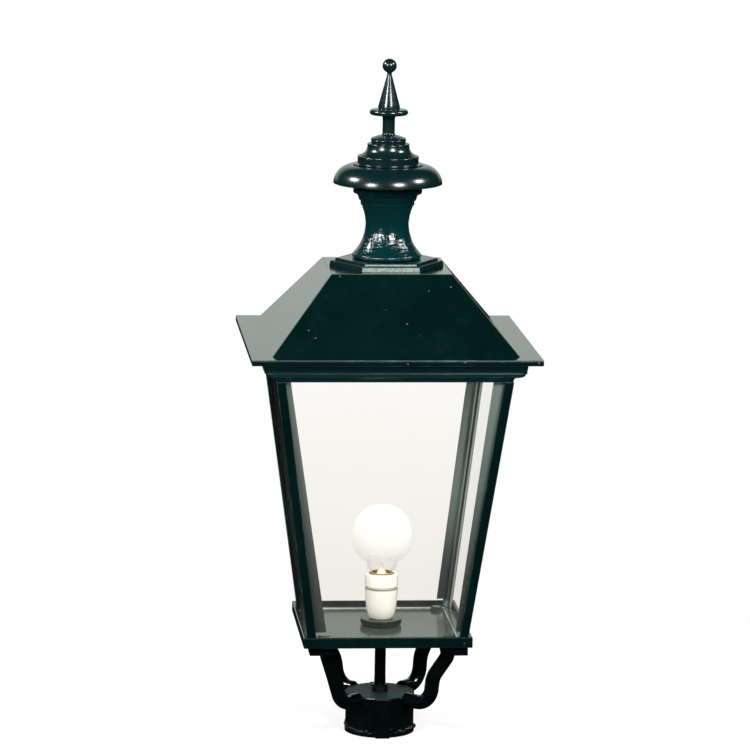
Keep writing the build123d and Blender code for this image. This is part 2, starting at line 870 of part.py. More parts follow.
# ---------------------------------------------------------------- roof
with BuildPart() as roof_shell:
    for height in (brim_height, roof_top):
        with BuildSketch(Plane.XY.offset(height)):
            Rectangle(2 * roof_half(height), 2 * roof_half(height))
    loft(ruled=True)
    with BuildSketch(Plane.XY.offset(brim_under)):
        Rectangle(2 * brim_half, 2 * brim_half)
    extrude(amount=sheet)
    for height in (brim_under, roof_top - sheet):
        inner = roof_half(height) - sheet_across
        with BuildSketch(Plane.XY.offset(height)):
            Rectangle(2 * inner, 2 * inner)
    loft(ruled=True, mode=Mode.SUBTRACT)
    with BuildSketch(Plane.XY.offset(roof_top)):
        Circle(vent_bore_radius)
    extrude(amount=-2 * sheet, mode=Mode.SUBTRACT)
roof_shell.part.label = "roof_shell"
export_step(roof_shell.part, "parts/roof_shell.step")


def hem_strip(inner_half, low, high):
    """Four strips round the brim, mitred with an open gap at each corner."""
    outer_end = brim_half - hem_mitre_gap / 2
    inner_end = inner_half - hem_mitre_gap / 2
    with BuildPart() as strips:
        with BuildSketch(Plane.XY.offset(low)):
            with PolarLocations(0, 4):
                Polygon(
                    (-outer_end, -brim_half),
                    (outer_end, -brim_half),
                    (inner_end, -inner_half),
                    (-inner_end, -inner_half),
                    align=None,
                )
        extrude(amount=high - low)
    return strips.part


with BuildPart() as roof_hem:
    add(hem_strip(hem_inner, hem_height, hem_height + sheet))
    add(hem_strip(brim_half - sheet, hem_height + sheet, brim_under))
roof_hem.part.label = "roof_hem"
export_step(roof_hem.part, "parts/roof_hem.step")

with BuildPart() as plinth:
    with BuildSketch(Plane.XY.offset(roof_top)):
        RegularPolygon(plinth_lower_radius, 6)
    extrude(amount=plinth_lower_height, taper=plinth_draft)
    chamfer(plinth.edges().group_by(Axis.Z)[-1], length=plinth_edge)
    with BuildSketch(Plane.XY.offset(roof_top + plinth_lower_height)):
        RegularPolygon(plinth_upper_radius, 6)
    extrude(amount=plinth_upper_height, taper=plinth_draft)
    chamfer(plinth.edges().group_by(Axis.Z)[-1], length=plinth_edge)
    with BuildSketch(Plane.XY.offset(roof_top)):
        Circle(vent_bore_radius)
    extrude(amount=plinth_top - roof_top, mode=Mode.SUBTRACT)
plinth.part.label = "hex_plinth"
export_step(plinth.part, "parts/hex_plinth.step")

# ---------------------------------------------------------------- chimney neck
ring_one_foot = plinth_top + neck_height
ring_two_foot = ring_one_foot + ring_one_height
crown_foot = ring_two_foot + ring_two_height
with BuildPart() as chimney:
    with BuildSketch(Plane.XZ):
        with BuildLine():
            bead_start = (bead_radius - bead_height / 3, plinth_top)
            bead_end = (neck_foot_radius, plinth_top + bead_height)
            neck_start = (neck_foot_radius, plinth_top + bead_height + neck_edge)
            neck_end = (neck_head_radius, ring_one_foot - neck_edge)
            Polyline((vent_bore_radius, plinth_top), bead_start)
            ThreePointArc(bead_start, (bead_radius, plinth_top + bead_height / 2), bead_end)
            Line(bead_end, neck_start)
            Spline(
                neck_start,
                (neck_waist_radius + neck_swell, plinth_top + neck_waist_rise / 2),
                (neck_waist_radius, plinth_top + neck_waist_rise),
                neck_end,
                tangents=[(-1, 1.1), (0.45, 1)],
            )
            Polyline(
                neck_end,
                (neck_head_radius, ring_one_foot),
                (ring_one_radius, ring_one_foot),
                (ring_one_radius, ring_two_foot - neck_edge),
                (ring_two_foot_radius, ring_two_foot),
                (ring_two_top_radius, crown_foot - neck_edge),
                (ring_two_top_radius, crown_foot),
                (crown_ring_radius - crown_ring_edge, crown_foot),
                (crown_ring_radius, crown_foot + crown_ring_edge),
                (crown_ring_radius, chimney_top),
                (vent_bore_radius, chimney_top),
                (vent_bore_radius, plinth_top),
            )
        make_face()
    revolve(axis=Axis.Z)
chimney.part.label = "chimney"
export_step(chimney.part, "parts/chimney.step")

# ---------------------------------------------------------------- vent cap
dome_foot = cap_height + dome_lip_height
dome_top = dome_foot + dome_height
cap_ring_foot = dome_top + dome_collar_height + cap_ring_step
cap_ring_top = cap_ring_foot + cap_ring_height
bell_foot = cap_ring_top + bell_foot_height
bell_top = bell_foot + bell_height
crown_top = bell_top + neck_ring_height + cap_crown_rise
rod_bore = rod_radius + rod_clearance
dome_width = dome_foot_radius - dome_top_radius


def dome_arc(inset):
    """Quarter-round face of the dome from its foot up to its top, inset by a wall."""
    foot = (dome_foot_radius - inset, dome_foot)
    top = (dome_top_radius - inset, dome_top - inset)
    bulge = math.sqrt(0.5)
    middle = (
        dome_top_radius - inset + dome_width * bulge,
        dome_foot + (dome_height - inset) * bulge,
    )
    ThreePointArc(foot, middle, top)
    return foot, top


with BuildPart() as vent_cap:
    with BuildSketch(Plane.XZ):
        with BuildLine():
            foot, top = dome_arc(0)
            inner_foot, inner_top = dome_arc(dome_wall)
            Polyline(
                inner_foot,
                (dome_lip_radius - dome_wall, cap_height),
                (dome_lip_radius, cap_height),
                foot,
            )
            Polyline(
                top,
                (dome_collar_radius, dome_top + dome_collar_height),
                (cap_ring_radius, dome_top + 2 * dome_collar_height),
                (cap_ring_radius, cap_ring_foot),
                (cap_ring_radius, cap_ring_top),
                (bell_foot_radius, bell_foot),
            )
            Spline(
                (bell_foot_radius, bell_foot),
                (bell_waist_radius, bell_foot + 0.36 * bell_height),
                (bell_top_radius, bell_top),
                tangents=[(-1, 0.5), (-0.1, 1)],
            )
            Polyline(
                (bell_top_radius, bell_top),
                (neck_ring_radius, bell_top),
                (neck_ring_radius, bell_top + neck_ring_height),
                (finial_foot_radius, crown_top),
                (rod_bore, crown_top),
                (rod_bore, bell_top - dome_wall),
                (bell_top_radius - dome_wall, bell_top - dome_wall),
                (bell_foot_radius - dome_wall, bell_foot - dome_wall),
                inner_top,
            )
        make_face()
    revolve(axis=Axis.Z)
    with BuildSketch(Plane.XY.offset(chimney_top)):
        with PolarLocations(0, cap_rib_count, start_angle=30):
            with Locations((cap_rib_inner, 0)):
                Rectangle(
                    crown_ring_radius - cap_rib_inner,
                    cap_rib_width,
                    align=(Align.MIN, Align.CENTER),
                )
    extrude(until=Until.NEXT)
vent_cap.part.label = "vent_cap"
export_step(vent_cap.part, "parts/vent_cap.step")

# ---------------------------------------------------------------- finial
stem_foot = crown_top + finial_flare_height
disc_foot = stem_foot + finial_stem_height + finial_cove_height
disc_top = disc_foot + finial_disc_thickness
cone_foot = disc_top + finial_lip_height
finial_neck_foot = cone_foot + finial_cone_height
ball_drop = math.sqrt(finial_ball_radius**2 - finial_neck_radius**2)
ball_centre = finial_neck_foot + finial_neck_height + ball_drop
disc_flat = finial_disc_radius - finial_disc_thickness / 2
with BuildPart() as finial:
    with BuildSketch(Plane.XZ):
        with BuildLine():
            Polyline(
                (0, ball_centre + finial_ball_radius),
                (0, crown_top),
                (finial_foot_radius, crown_top),
            )
            Spline(
                (finial_foot_radius, crown_top),
                (finial_stem_radius, stem_foot),
                tangents=[(-1, 0.25), (0, 1)],
            )
            Line((finial_stem_radius, stem_foot), (finial_stem_radius, stem_foot + finial_stem_height))
            Spline(
                (finial_stem_radius, stem_foot + finial_stem_height),
                (finial_cove_radius, disc_foot),
                tangents=[(0, 1), (1, 0.2)],
            )
            Line((finial_cove_radius, disc_foot), (disc_flat, disc_foot))
            ThreePointArc(
                (disc_flat, disc_foot),
                (finial_disc_radius, (disc_foot + disc_top) / 2),
                (disc_flat, disc_top),
            )
            Polyline(
                (disc_flat, disc_top),
                (finial_cone_radius, disc_top),
                (finial_cone_radius, cone_foot),
                (finial_neck_radius, finial_neck_foot),
                (finial_neck_radius, finial_neck_foot + finial_neck_height),
            )
            ThreePointArc(
                (finial_neck_radius, finial_neck_foot + finial_neck_height),
                (finial_ball_radius, ball_centre),
                (0, ball_centre + finial_ball_radius),
            )
        make_face()
    revolve(axis=Axis.Z)
    with BuildSketch(Plane.XY.offset(crown_top)):
        Circle(rod_radius)
    extrude(amount=rod_into_finial, mode=Mode.SUBTRACT)
finial.part.label = "finial"
export_step(finial.part, "parts/finial.step")

# ---------------------------------------------------------------- tie rod and clamp
clamp_foot = roof_top - sheet - clamp_thickness
nut_foot = clamp_foot - washer_thickness - rod_nut_height
with BuildPart() as tie_rod:
    with BuildSketch(Plane.XY.offset(nut_foot - rod_tail)):
        Circle(rod_radius)
    extrude(amount=crown_top + rod_into_finial - nut_foot + rod_tail)
tie_rod.part.label = "tie_rod"
export_step(tie_rod.part, "parts/tie_rod.step")

with BuildPart() as clamp_bar:
    with BuildSketch(Plane.XY.offset(clamp_foot)):
        RectangleRounded(clamp_length, clamp_width, clamp_width / 4)
        Circle(rod_bore, mode=Mode.SUBTRACT)
    extrude(amount=clamp_thickness)
clamp_bar.part.label = "clamp_bar"
export_step(clamp_bar.part, "parts/clamp_bar.step")

with BuildPart() as clamp_washer:
    with BuildSketch(Plane.XY.offset(clamp_foot)):
        Circle(washer_radius)
        Circle(rod_bore, mode=Mode.SUBTRACT)
    extrude(amount=-washer_thickness)
clamp_washer.part.label = "clamp_washer"
export_step(clamp_washer.part, "parts/clamp_washer.step")

with BuildPart() as tie_rod_nut:
    with BuildSketch(Plane.XY.offset(nut_foot)):
        RegularPolygon(rod_nut_flats / 2, 6, major_radius=False)
        Circle(rod_radius, mode=Mode.SUBTRACT)
    extrude(amount=rod_nut_height)
tie_rod_nut.part.label = "tie_rod_nut"
export_step(tie_rod_nut.part, "parts/tie_rod_nut.step")
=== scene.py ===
# %% [markdown]
# # A post top lantern, dressed for the camera
# A street lantern for the top of a post: a cast socket, four bent arms, a glazed cage that
# leans outwards, a sheet roof with a cast chimney neck, a vent cap and a turned finial.
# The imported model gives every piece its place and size. This script gives the pieces their
# rounded edges, casting marks, threads, weld beads and finishes, and lights them.

# %% Load the frame
import json
import math

import bmesh
import bpy
from mathutils import Matrix, Vector, noise

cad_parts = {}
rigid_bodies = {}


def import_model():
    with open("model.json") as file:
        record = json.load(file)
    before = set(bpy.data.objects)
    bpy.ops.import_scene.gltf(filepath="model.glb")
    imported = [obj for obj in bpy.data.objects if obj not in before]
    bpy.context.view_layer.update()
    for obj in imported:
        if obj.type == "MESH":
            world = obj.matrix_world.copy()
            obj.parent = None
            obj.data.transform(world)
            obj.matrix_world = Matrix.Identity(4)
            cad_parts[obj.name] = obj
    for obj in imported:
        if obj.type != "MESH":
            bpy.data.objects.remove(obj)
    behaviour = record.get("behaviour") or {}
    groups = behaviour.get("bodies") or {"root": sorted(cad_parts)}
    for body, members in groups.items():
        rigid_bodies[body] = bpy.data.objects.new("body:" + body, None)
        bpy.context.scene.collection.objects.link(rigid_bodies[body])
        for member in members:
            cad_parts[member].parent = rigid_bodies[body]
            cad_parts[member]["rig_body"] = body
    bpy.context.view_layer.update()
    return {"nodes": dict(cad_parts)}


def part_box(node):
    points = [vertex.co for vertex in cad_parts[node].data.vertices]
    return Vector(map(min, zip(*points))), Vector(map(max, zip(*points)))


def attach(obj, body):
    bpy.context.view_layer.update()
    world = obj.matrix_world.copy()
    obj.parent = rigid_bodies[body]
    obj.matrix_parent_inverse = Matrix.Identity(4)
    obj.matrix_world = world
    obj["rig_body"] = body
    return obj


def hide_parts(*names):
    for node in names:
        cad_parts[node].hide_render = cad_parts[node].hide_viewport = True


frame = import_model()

MM = 0.001
nodes = frame["nodes"]

# %% [markdown]
# ## Camera
# The photo was taken from far away with a long lens, nearly level, from a little above and a
# little to the left. A long lens keeps the cage's sides straight and the brim thin, so the
# place and the turn of the camera matter more here than its distance.

# %% Camera
CAMERA_AZIMUTH = math.radians(-5.24)
CAMERA_ELEVATION = math.radians(9.68)
CAMERA_ROLL = math.radians(0.89)
CAMERA_DISTANCE = 5.3116
CAMERA_AIM = Vector((0, 0, 0.4631))
CAMERA_SIDE_STEP = -0.01237
LENS_MM = 200.64


def camera_axes(azimuth, elevation):
    """Right, up and backward directions of a camera that looks at the object."""
    flat = math.cos(elevation)
    backward = Vector((math.sin(azimuth) * flat, -math.cos(azimuth) * flat, math.sin(elevation)))
    right = Vector((math.cos(azimuth), math.sin(azimuth), 0))
    return right, backward.cross(right), backward


right, up, backward = camera_axes(CAMERA_AZIMUTH, CAMERA_ELEVATION)
camera = bpy.data.objects.new("camera", bpy.data.cameras.new("camera"))
bpy.context.scene.collection.objects.link(camera)
camera.data.lens = LENS_MM
camera.data.clip_end = 50
rolled_right = math.cos(CAMERA_ROLL) * right + math.sin(CAMERA_ROLL) * up
rolled_up = math.cos(CAMERA_ROLL) * up - math.sin(CAMERA_ROLL) * right
place = CAMERA_AIM + backward * CAMERA_DISTANCE + right * CAMERA_SIDE_STEP
turn = Matrix((rolled_right, rolled_up, backward)).transposed().to_4x4()
camera.matrix_world = Matrix.Translation(place) @ turn
bpy.context.scene.camera = camera
bpy.context.scene.view_settings.view_transform = "Standard"
print("camera at", [round(v, 3) for v in place])

# %% [markdown]
# ## Shader maths in plain Python
# A finish is a small program: where is this point, how rough is it, how pale. The two
# classes below let it be written that way. `Value` wraps a socket, so that `a * 2 + b` adds
# the Math nodes, and `Finish.node` adds any other node from its type, its settings and the
# values of its sockets.

# %% Shader helpers


class Value:
    """One output socket; arithmetic on it adds Math nodes to its finish."""

    def __init__(self, finish, socket):
        self.finish = finish
        self.socket = socket

    def math(self, operation, *others):
        sockets = {0: self, **dict(enumerate(others, 1))}
        return self.finish.node("ShaderNodeMath", {"operation": operation}, sockets)

    def turned(self, operation, first):
        return self.finish.node("ShaderNodeMath", {"operation": operation}, {0: first, 1: self})

    def __add__(self, other):
        return self.math("ADD", other)

    def __sub__(self, other):
        return self.math("SUBTRACT", other)

    def __mul__(self, other):
        return self.math("MULTIPLY", other)

    def __truediv__(self, other):
        return self.math("DIVIDE", other)

    def __radd__(self, other):
        return self.math("ADD", other)

    def __rmul__(self, other):
        return self.math("MULTIPLY", other)

    def __rsub__(self, other):
        return self.turned("SUBTRACT", other)

    def __rtruediv__(self, other):
        return self.turned("DIVIDE", other)

    def magnitude(self):
        return self.math("ABSOLUTE")

    def above(self, low, high):
        """0 below low, 1 above high and a smooth step between them."""
        ends = {"Value": self, "From Min": low, "From Max": high}
        return self.finish.node("ShaderNodeMapRange", {"interpolation_type": "SMOOTHSTEP"}, ends)

    def clamped(self):
        return self.finish.node("ShaderNodeClamp", {}, {0: self})


class Finish:
    """A material, or the world, as a node tree with one method for every kind of node."""

    def __init__(self, owner):
        owner.use_nodes = True
        self.owner = owner
        self.tree = owner.node_tree
        self.tree.nodes.clear()

    def node(self, kind, settings, sockets, out=0):
        """Any node: its settings come first, then the values or links of its sockets."""
        made = self.tree.nodes.new(kind)
        for name, setting in settings.items():
            setattr(made, name, setting)
        for key, value in sockets.items():
            if isinstance(value, Value):
                self.tree.links.new(value.socket, made.inputs[key])
            else:
                made.inputs[key].default_value = value
        return Value(self, made.outputs[out]) if made.outputs else made

    def place(self):
        """Object coordinates, in metres, the same on every piece."""
        return self.node("ShaderNodeTexCoord", {}, {}, "Object")

    def part(self, vector, axis):
        return self.node("ShaderNodeSeparateXYZ", {}, {0: vector}, axis)

    def stretched(self, vector, scale):
        return self.node("ShaderNodeVectorMath", {"operation": "MULTIPLY"}, {0: vector, 1: scale})

    def noise(self, vector, scale, detail=3.0, roughness=0.55):
        values = {"Vector": vector, "Scale": scale, "Detail": detail, "Roughness": roughness}
        return self.node("ShaderNodeTexNoise", {}, values)

    def dots(self, vector, scale):
        """Distance to the nearest of many scattered points, in cells."""
        return self.node("ShaderNodeTexVoronoi", {"feature": "F1"}, {"Vector": vector, "Scale": scale})

    def colours(self, factor, first, second):
        """A mix of two colours."""
        mix = {"data_type": "RGBA", "clamp_factor": True}
        return self.node("ShaderNodeMix", mix, {0: factor, 6: first, 7: second}, 2)

    def bump(self, height, strength, distance):
        values = {"Height": height, "Strength": strength, "Distance": distance}
        return self.node("ShaderNodeBump", {}, values)

    def mixed(self, factor, first, second):
        return self.node("ShaderNodeMixShader", {}, {0: factor, 1: first, 2: second})

    def principled(self, values):
        """Ends the finish with one Principled shader."""
        return self.end(self.node("ShaderNodeBsdfPrincipled", {}, values))

    def end(self, shader):
        """Adds the output node and gives back the material or the world."""
        is_world = isinstance(self.owner, bpy.types.World)
        kind = "ShaderNodeOutputWorld" if is_world else "ShaderNodeOutputMaterial"
        self.node(kind, {}, {"Surface": shader})
        return self.owner


def new_finish(name):
    return Finish(bpy.data.materials.new(name))


def rgb(red, green, blue):
    return (red, green, blue, 1.0)


# %% [markdown]
# ## World
# The photo is a studio shot on white. Gloss paint shows what stands around it: a white
# backdrop behind, which turns the brim and the left side of the roof pale, and a dark room in
# front, which leaves the front nearly black. So the world is white to the camera, plain grey
# to diffuse light, and split into a white back and a dark front for reflections.

# %% World
AMBIENT = 0.85
DARK_ROOM = 0.008
BACKDROP = 0.92
BACKDROP_TOP = 0.62
BACKDROP_FOOT = (-0.03, 0.05)
BACKDROP_SIDES = (0.75, 0.92)
BACKDROP_FADE = (0.12, 0.165)
BACKDROP_FADE_DEPTH = 0.13
BACKDROP_TOP_BLUR = 0.14
GLOSS_TINT = rgb(0.90, 1.0, 0.92)


def make_world():
    """White to the camera, plain grey to diffuse light, dark and white in gloss."""
    world = bpy.data.worlds.new("studio")
    bpy.context.scene.world = world
    sky = Finish(world)
    ray = {name: sky.node("ShaderNodeLightPath", {}, {}, name) for name in
           ("Is Camera Ray", "Is Glossy Ray", "Is Transmission Ray")}
    direction = sky.node("ShaderNodeTexCoord", {}, {}, "Generated")
    behind = sky.part(direction, "Y").above(*BACKDROP_SIDES)
    low = 1 - sky.part(direction, "Z").above(BACKDROP_TOP - BACKDROP_TOP_BLUR, BACKDROP_TOP)
    above_floor = sky.part(direction, "Z").above(*BACKDROP_FOOT)
    fade = 1 - sky.part(direction, "Z").above(*BACKDROP_FADE) * BACKDROP_FADE_DEPTH
    seen_in_gloss = DARK_ROOM + (BACKDROP - DARK_ROOM) * behind * low * above_floor * fade
    straight = (ray["Is Camera Ray"] + ray["Is Transmission Ray"]).clamped()
    level = AMBIENT + ray["Is Glossy Ray"] * (seen_in_gloss - AMBIENT)
    level = level + straight * (1 - level)
    tint = sky.colours(ray["Is Glossy Ray"], rgb(1, 1, 1), GLOSS_TINT)
    sky.end(sky.node("ShaderNodeBackground", {}, {"Color": tint, "Strength": level}))


make_world()
print("studio world made")

# %% [markdown]
# ## Floor and softboxes
# The floor is white paper that keeps only a faint shadow near the socket. It stays out of the
# gloss, so that the paint's dark reflections come from the room alone. Four softboxes stand
# round the front half. Each makes one soft patch on every round piece.

# %% Floor
FLOOR_HALF = 9.0
SHADOW_CORE = 0.25
SHADOW_REACH = 0.9
floor_mesh = bpy.data.meshes.new("floor")
floor_corners = [(-FLOOR_HALF, -FLOOR_HALF, 0), (FLOOR_HALF, -FLOOR_HALF, 0),
                 (FLOOR_HALF, FLOOR_HALF, 0), (-FLOOR_HALF, FLOOR_HALF, 0)]
floor_mesh.from_pydata(floor_corners, [], [(0, 1, 2, 3)])
floor = bpy.data.objects.new("floor", floor_mesh)
bpy.context.scene.collection.objects.link(floor)


def floor_finish():
    """White paper: it takes the object's shadow near its foot and fades to plain white."""
    paper = new_finish("floor_paper")
    place = paper.place()
    reach = paper.node("ShaderNodeVectorMath", {"operation": "LENGTH"}, {0: place}, "Value")
    camera_ray = paper.node("ShaderNodeLightPath", {}, {}, "Is Camera Ray")
    matt = paper.node("ShaderNodeBsdfDiffuse", {}, {"Color": rgb(0.35, 0.35, 0.35)})
    lit = paper.node("ShaderNodeBsdfDiffuse", {}, {"Color": rgb(0.25, 0.25, 0.25)})
    glow = paper.node("ShaderNodeEmission", {}, {"Color": rgb(1, 1, 1), "Strength": 0.60})
    near = paper.node("ShaderNodeAddShader", {}, {0: lit, 1: glow})
    white = paper.node("ShaderNodeEmission", {}, {"Color": rgb(1, 1, 1), "Strength": 1.0})
    seen = paper.mixed(reach.above(SHADOW_CORE, SHADOW_REACH), near, white)
    return paper.end(paper.mixed(camera_ray, matt, seen))


floor_mesh.materials.append(floor_finish())
floor.visible_glossy = False

# %% Lamps
LAMP_DISTANCE = 2.7
LAMP_SIZE = (0.62, 0.46)
LAMPS = {
    "left": (-92, 36, 66.0),
    "front_left": (-41, 24, 66.0),
    "front_right": (20, 29, 76.0),
    "right": (73, 36, 58.0),
}
for lamp_name, (azimuth, elevation, watts) in LAMPS.items():
    light = bpy.data.lights.new(f"softbox_{lamp_name}", "AREA")
    light.shape = "RECTANGLE"
    light.size, light.size_y = LAMP_SIZE
    light.energy = watts
    lamp = bpy.data.objects.new(light.name, light)
    lamp_right, lamp_up, lamp_back = camera_axes(math.radians(azimuth), math.radians(elevation))
    facing = Matrix((lamp_right, lamp_up, lamp_back)).transposed().to_4x4()
    lamp.matrix_world = Matrix.Translation(CAMERA_AIM + lamp_back * LAMP_DISTANCE) @ facing
    bpy.context.scene.collection.objects.link(lamp)
print("softboxes:", len(LAMPS))

# %% [markdown]
# ## The green paint
# Nearly everything is finished in one deep green gloss. What tells the pieces apart is what
# lies under it: smooth sheet on the roof, turned metal on the cap and finial, a rough sand
# casting on the neck and the hub. So one function makes the paint, and its inputs say how
# strong the orange peel, the casting grit and the dust are, and how much light and shade is
# painted in. The edge paint is pale partly from wear and partly as a painted highlight line.
# Painted light lifts some pieces to a lighter green, and painted shade darkens the castings
# below the tray to near black. Chalk is old paint that has gone pale all over. The pale mix
# also paints sheen towards the top, a reflection on the tray's floor, a highlight on faces that
# look forward and sheen on faces that look into the cage. The last two only follow the photo,
# where these faces are paler than the lamps here make them.

# %% Green paint
DEEP_GREEN = rgb(0.0001, 0.0036, 0.0038)
FRESH_GREEN = rgb(0.0003, 0.0052, 0.0053)
PAINTED_LIGHT_GREEN = rgb(0.0015, 0.030, 0.031)
WORN_AND_HIGHLIGHT_GREEN = rgb(0.026, 0.052, 0.048)
SHADE_BLACK = rgb(0.0002, 0.0003, 0.0003)
DUST_AND_SHEEN = rgb(0.20, 0.26, 0.235)
SPECK = rgb(0.30, 0.36, 0.33)
PAINT_INDEX = 1.5
NECK_GRIT_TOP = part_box("chimney")[0].z + 52 * MM
CAGE_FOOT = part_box("glass_front")[0].z
CAGE_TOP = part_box("glass_front")[1].z
TRAY_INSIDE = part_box("tray")[1].x - 5 * MM
BOLT_HEAD = 5.3 * MM
TRAY_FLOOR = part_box("corner_bolts")[1].z - BOLT_HEAD
HUB_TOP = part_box("hub_plate")[1].z


def green_paint(name, gloss=0.10, peel=0.2, grit=0.0, grit_top=0.0, dust=0.15, wear_and_highlight=0.0,
                specks=0.0, light=0.0, painted_shade=0.0, chalk=0.0, painted_sheen_top=0.0, painted_reflection_inside=0.0,
                painted_highlight_front=0.0, painted_sheen_within=0.0, matt_top=0.0):
    """Gloss paint. Peel and grit are heights in tenths of a millimetre."""
    paint = new_finish(name)
    place = paint.place()
    broad = paint.noise(place, 11.0)
    cloud = paint.noise(place, 46.0, 4.0)
    orange_peel = paint.noise(place, 260.0, 2.0)
    sand = paint.noise(place, 620.0, 3.0, 0.65)
    lumps = paint.noise(place, 330.0, 2.0)
    colour = paint.colours(broad.above(0.35, 0.68), DEEP_GREEN, FRESH_GREEN)
    on_top = paint.part(place, "Z").above(HUB_TOP - MM, HUB_TOP) if matt_top else None
    # Painted light: a lighter green over the whole piece, or on the hub over its top only.
    if light:
        colour = paint.colours(light * on_top if matt_top else light, colour, PAINTED_LIGHT_GREEN)
    # Pale edge paint: partly wear, partly a painted highlight line.
    rubbed_and_highlit = (cloud.above(0.50, 0.72) * (0.35 + wear_and_highlight) + wear_and_highlight * 0.4).clamped() if wear_and_highlight else None
    if wear_and_highlight:
        colour = paint.colours(rubbed_and_highlit, colour, WORN_AND_HIGHLIGHT_GREEN)
    # Painted shade: darker toward near black, on the hub everywhere but its top.
    if painted_shade:
        colour = paint.colours(painted_shade * (1 - on_top) if matt_top else painted_shade, colour, SHADE_BLACK)
    settled = cloud.above(0.52, 0.85) * dust
    pale = settled * 0.02 + chalk
    # Painted sheen: paler towards the top of the cage.
    if painted_sheen_top:
        pale = pale + paint.part(place, "Z").above(CAGE_FOOT, CAGE_TOP) * painted_sheen_top
    # Painted reflection: paler on the tray's floor inside the rail.
    if painted_reflection_inside:
        across = paint.part(place, "X").magnitude()
        across = across.math("MAXIMUM", paint.part(place, "Y").magnitude())
        over_floor = paint.part(place, "Z").above(TRAY_FLOOR - MM, TRAY_FLOOR - 0.5 * MM)
        pale = pale + (1 - across.above(TRAY_INSIDE, TRAY_INSIDE + MM)) * over_floor * painted_reflection_inside
    if painted_highlight_front or painted_sheen_within:
        facing = paint.node("ShaderNodeTexCoord", {}, {}, "Normal")
    # Painted highlight: paler on faces that look forward.
    if painted_highlight_front:
        forward = (paint.part(facing, "Y") * -1).above(0.90, 0.96)
        pale = pale + forward * (0.6 + sand.above(0.40, 0.62)) * painted_highlight_front
    # Painted sheen: paler on faces that look into the cage.
    if painted_sheen_within:
        outward_x = paint.part(facing, "X") * paint.part(place, "X")
        outward_y = paint.part(facing, "Y") * paint.part(place, "Y")
        outward = outward_x + outward_y
        pale = pale + (outward * -1).above(0.02, 0.05) * painted_sheen_within
    # The pale mix holds real dust and chalk as well as the painted sheen, reflection and highlight.
    colour = paint.colours(pale.clamped(), colour, DUST_AND_SHEEN)
    if specks:
        near_speck = 1 - paint.dots(place, 95.0).above(0.05, 0.11)
        kept = paint.noise(place, 31.0, 1.0).above(0.56, 0.62)
        speck = near_speck * kept * specks
        colour = paint.colours(speck, colour, SPECK)
    roughness = gloss + settled * 0.12 + broad * 0.05 + sand * 0.04
    if matt_top:
        roughness = roughness + on_top * matt_top
    height = orange_peel * (peel * 0.1)
    if grit:
        rough_cast = (sand.above(0.42, 0.66) * 0.15 + lumps * 1.3) * (grit * 0.1)
        if grit_top:
            rough_cast = rough_cast * (1.12 - paint.part(place, "Z").above(grit_top - 0.028, grit_top))
        height = height + rough_cast
    normal = paint.bump(height, 0.8, MM)
    values = {"Base Color": colour, "Roughness": roughness, "Normal": normal, "IOR": PAINT_INDEX}
    return paint.principled(values)


# %% Finishes of the green paint
paint_sheet = green_paint("green_paint_sheet", gloss=0.07, peel=0.04, dust=0.3, specks=0.3)
# The edge paints are pale partly from wear and partly as a painted highlight line.
paint_edge = green_paint("green_paint_edge", gloss=0.28, peel=0.06, wear_and_highlight=0.40)
paint_roof_edge = green_paint("green_paint_roof_edge", gloss=0.20, peel=0.06, wear_and_highlight=0.6,
                              chalk=0.10)
# Painted light lifts the turned pieces, the neck, the plinth, the cornice and the hub's top.
paint_turned = green_paint("green_paint_turned", gloss=0.17, peel=0.01, light=0.10)
# Painted shade darkens the castings, the hub's sides and the pipe toward near black.
paint_cast = green_paint("green_paint_cast", gloss=0.12, peel=0.25, grit=0.25, dust=0.2, painted_shade=0.7)
paint_neck = green_paint("green_paint_neck", gloss=0.07, peel=0.05, grit=3.4,
                         grit_top=NECK_GRIT_TOP, light=0.30)
# Painted highlight on the plinth's forward faces.
paint_plinth = green_paint("green_paint_plinth", gloss=0.20, peel=0.2, grit=0.5, light=0.12,
                           painted_highlight_front=0.56)
paint_frame = green_paint("green_paint_frame", gloss=0.09, peel=0.08, dust=0.3)
# Painted sheen on the back right post's inner faces.
paint_inner_sheen = green_paint("green_paint_inner_sheen", gloss=0.15, peel=0.08, painted_sheen_within=0.85)
paint_cornice = green_paint("green_paint_cornice", gloss=0.12, peel=0.06, light=0.5)
# Painted reflection on the tray's floor.
paint_tray = green_paint("green_paint_tray", gloss=0.12, peel=0.06, dust=0.4, specks=0.2,
                         painted_reflection_inside=0.15)
# Painted sheen towards the top of the glazing strips.
paint_bead = green_paint("green_paint_bead", gloss=0.22, peel=0.2, chalk=0.08, painted_sheen_top=0.38)
paint_bead_back = green_paint("green_paint_bead_back", gloss=0.22, peel=0.2, chalk=0.10,
                              painted_sheen_top=0.85)
# The hub has painted light on its top and painted shade on its sides.
paint_hub = green_paint("hub_paint_lit_top", gloss=0.14, peel=0.3, grit=0.8, dust=0.5, light=0.4,
                        painted_shade=0.7, matt_top=0.42)
paint_pipe = green_paint("pipe_paint", gloss=0.15, peel=0.1, painted_shade=0.7)
print("cage from", round(CAGE_FOOT, 4), "to", round(CAGE_TOP, 4), "m")

# %% [markdown]
# ## Metals
# Plated steel, brass and solder differ in colour and in how they were worked: rolled wire
# and rod carry fine lines along their length, turned and plated faces are cloudy. Each metal
# is a small recipe with a tarnish that gathers in patches.

# %% Metals


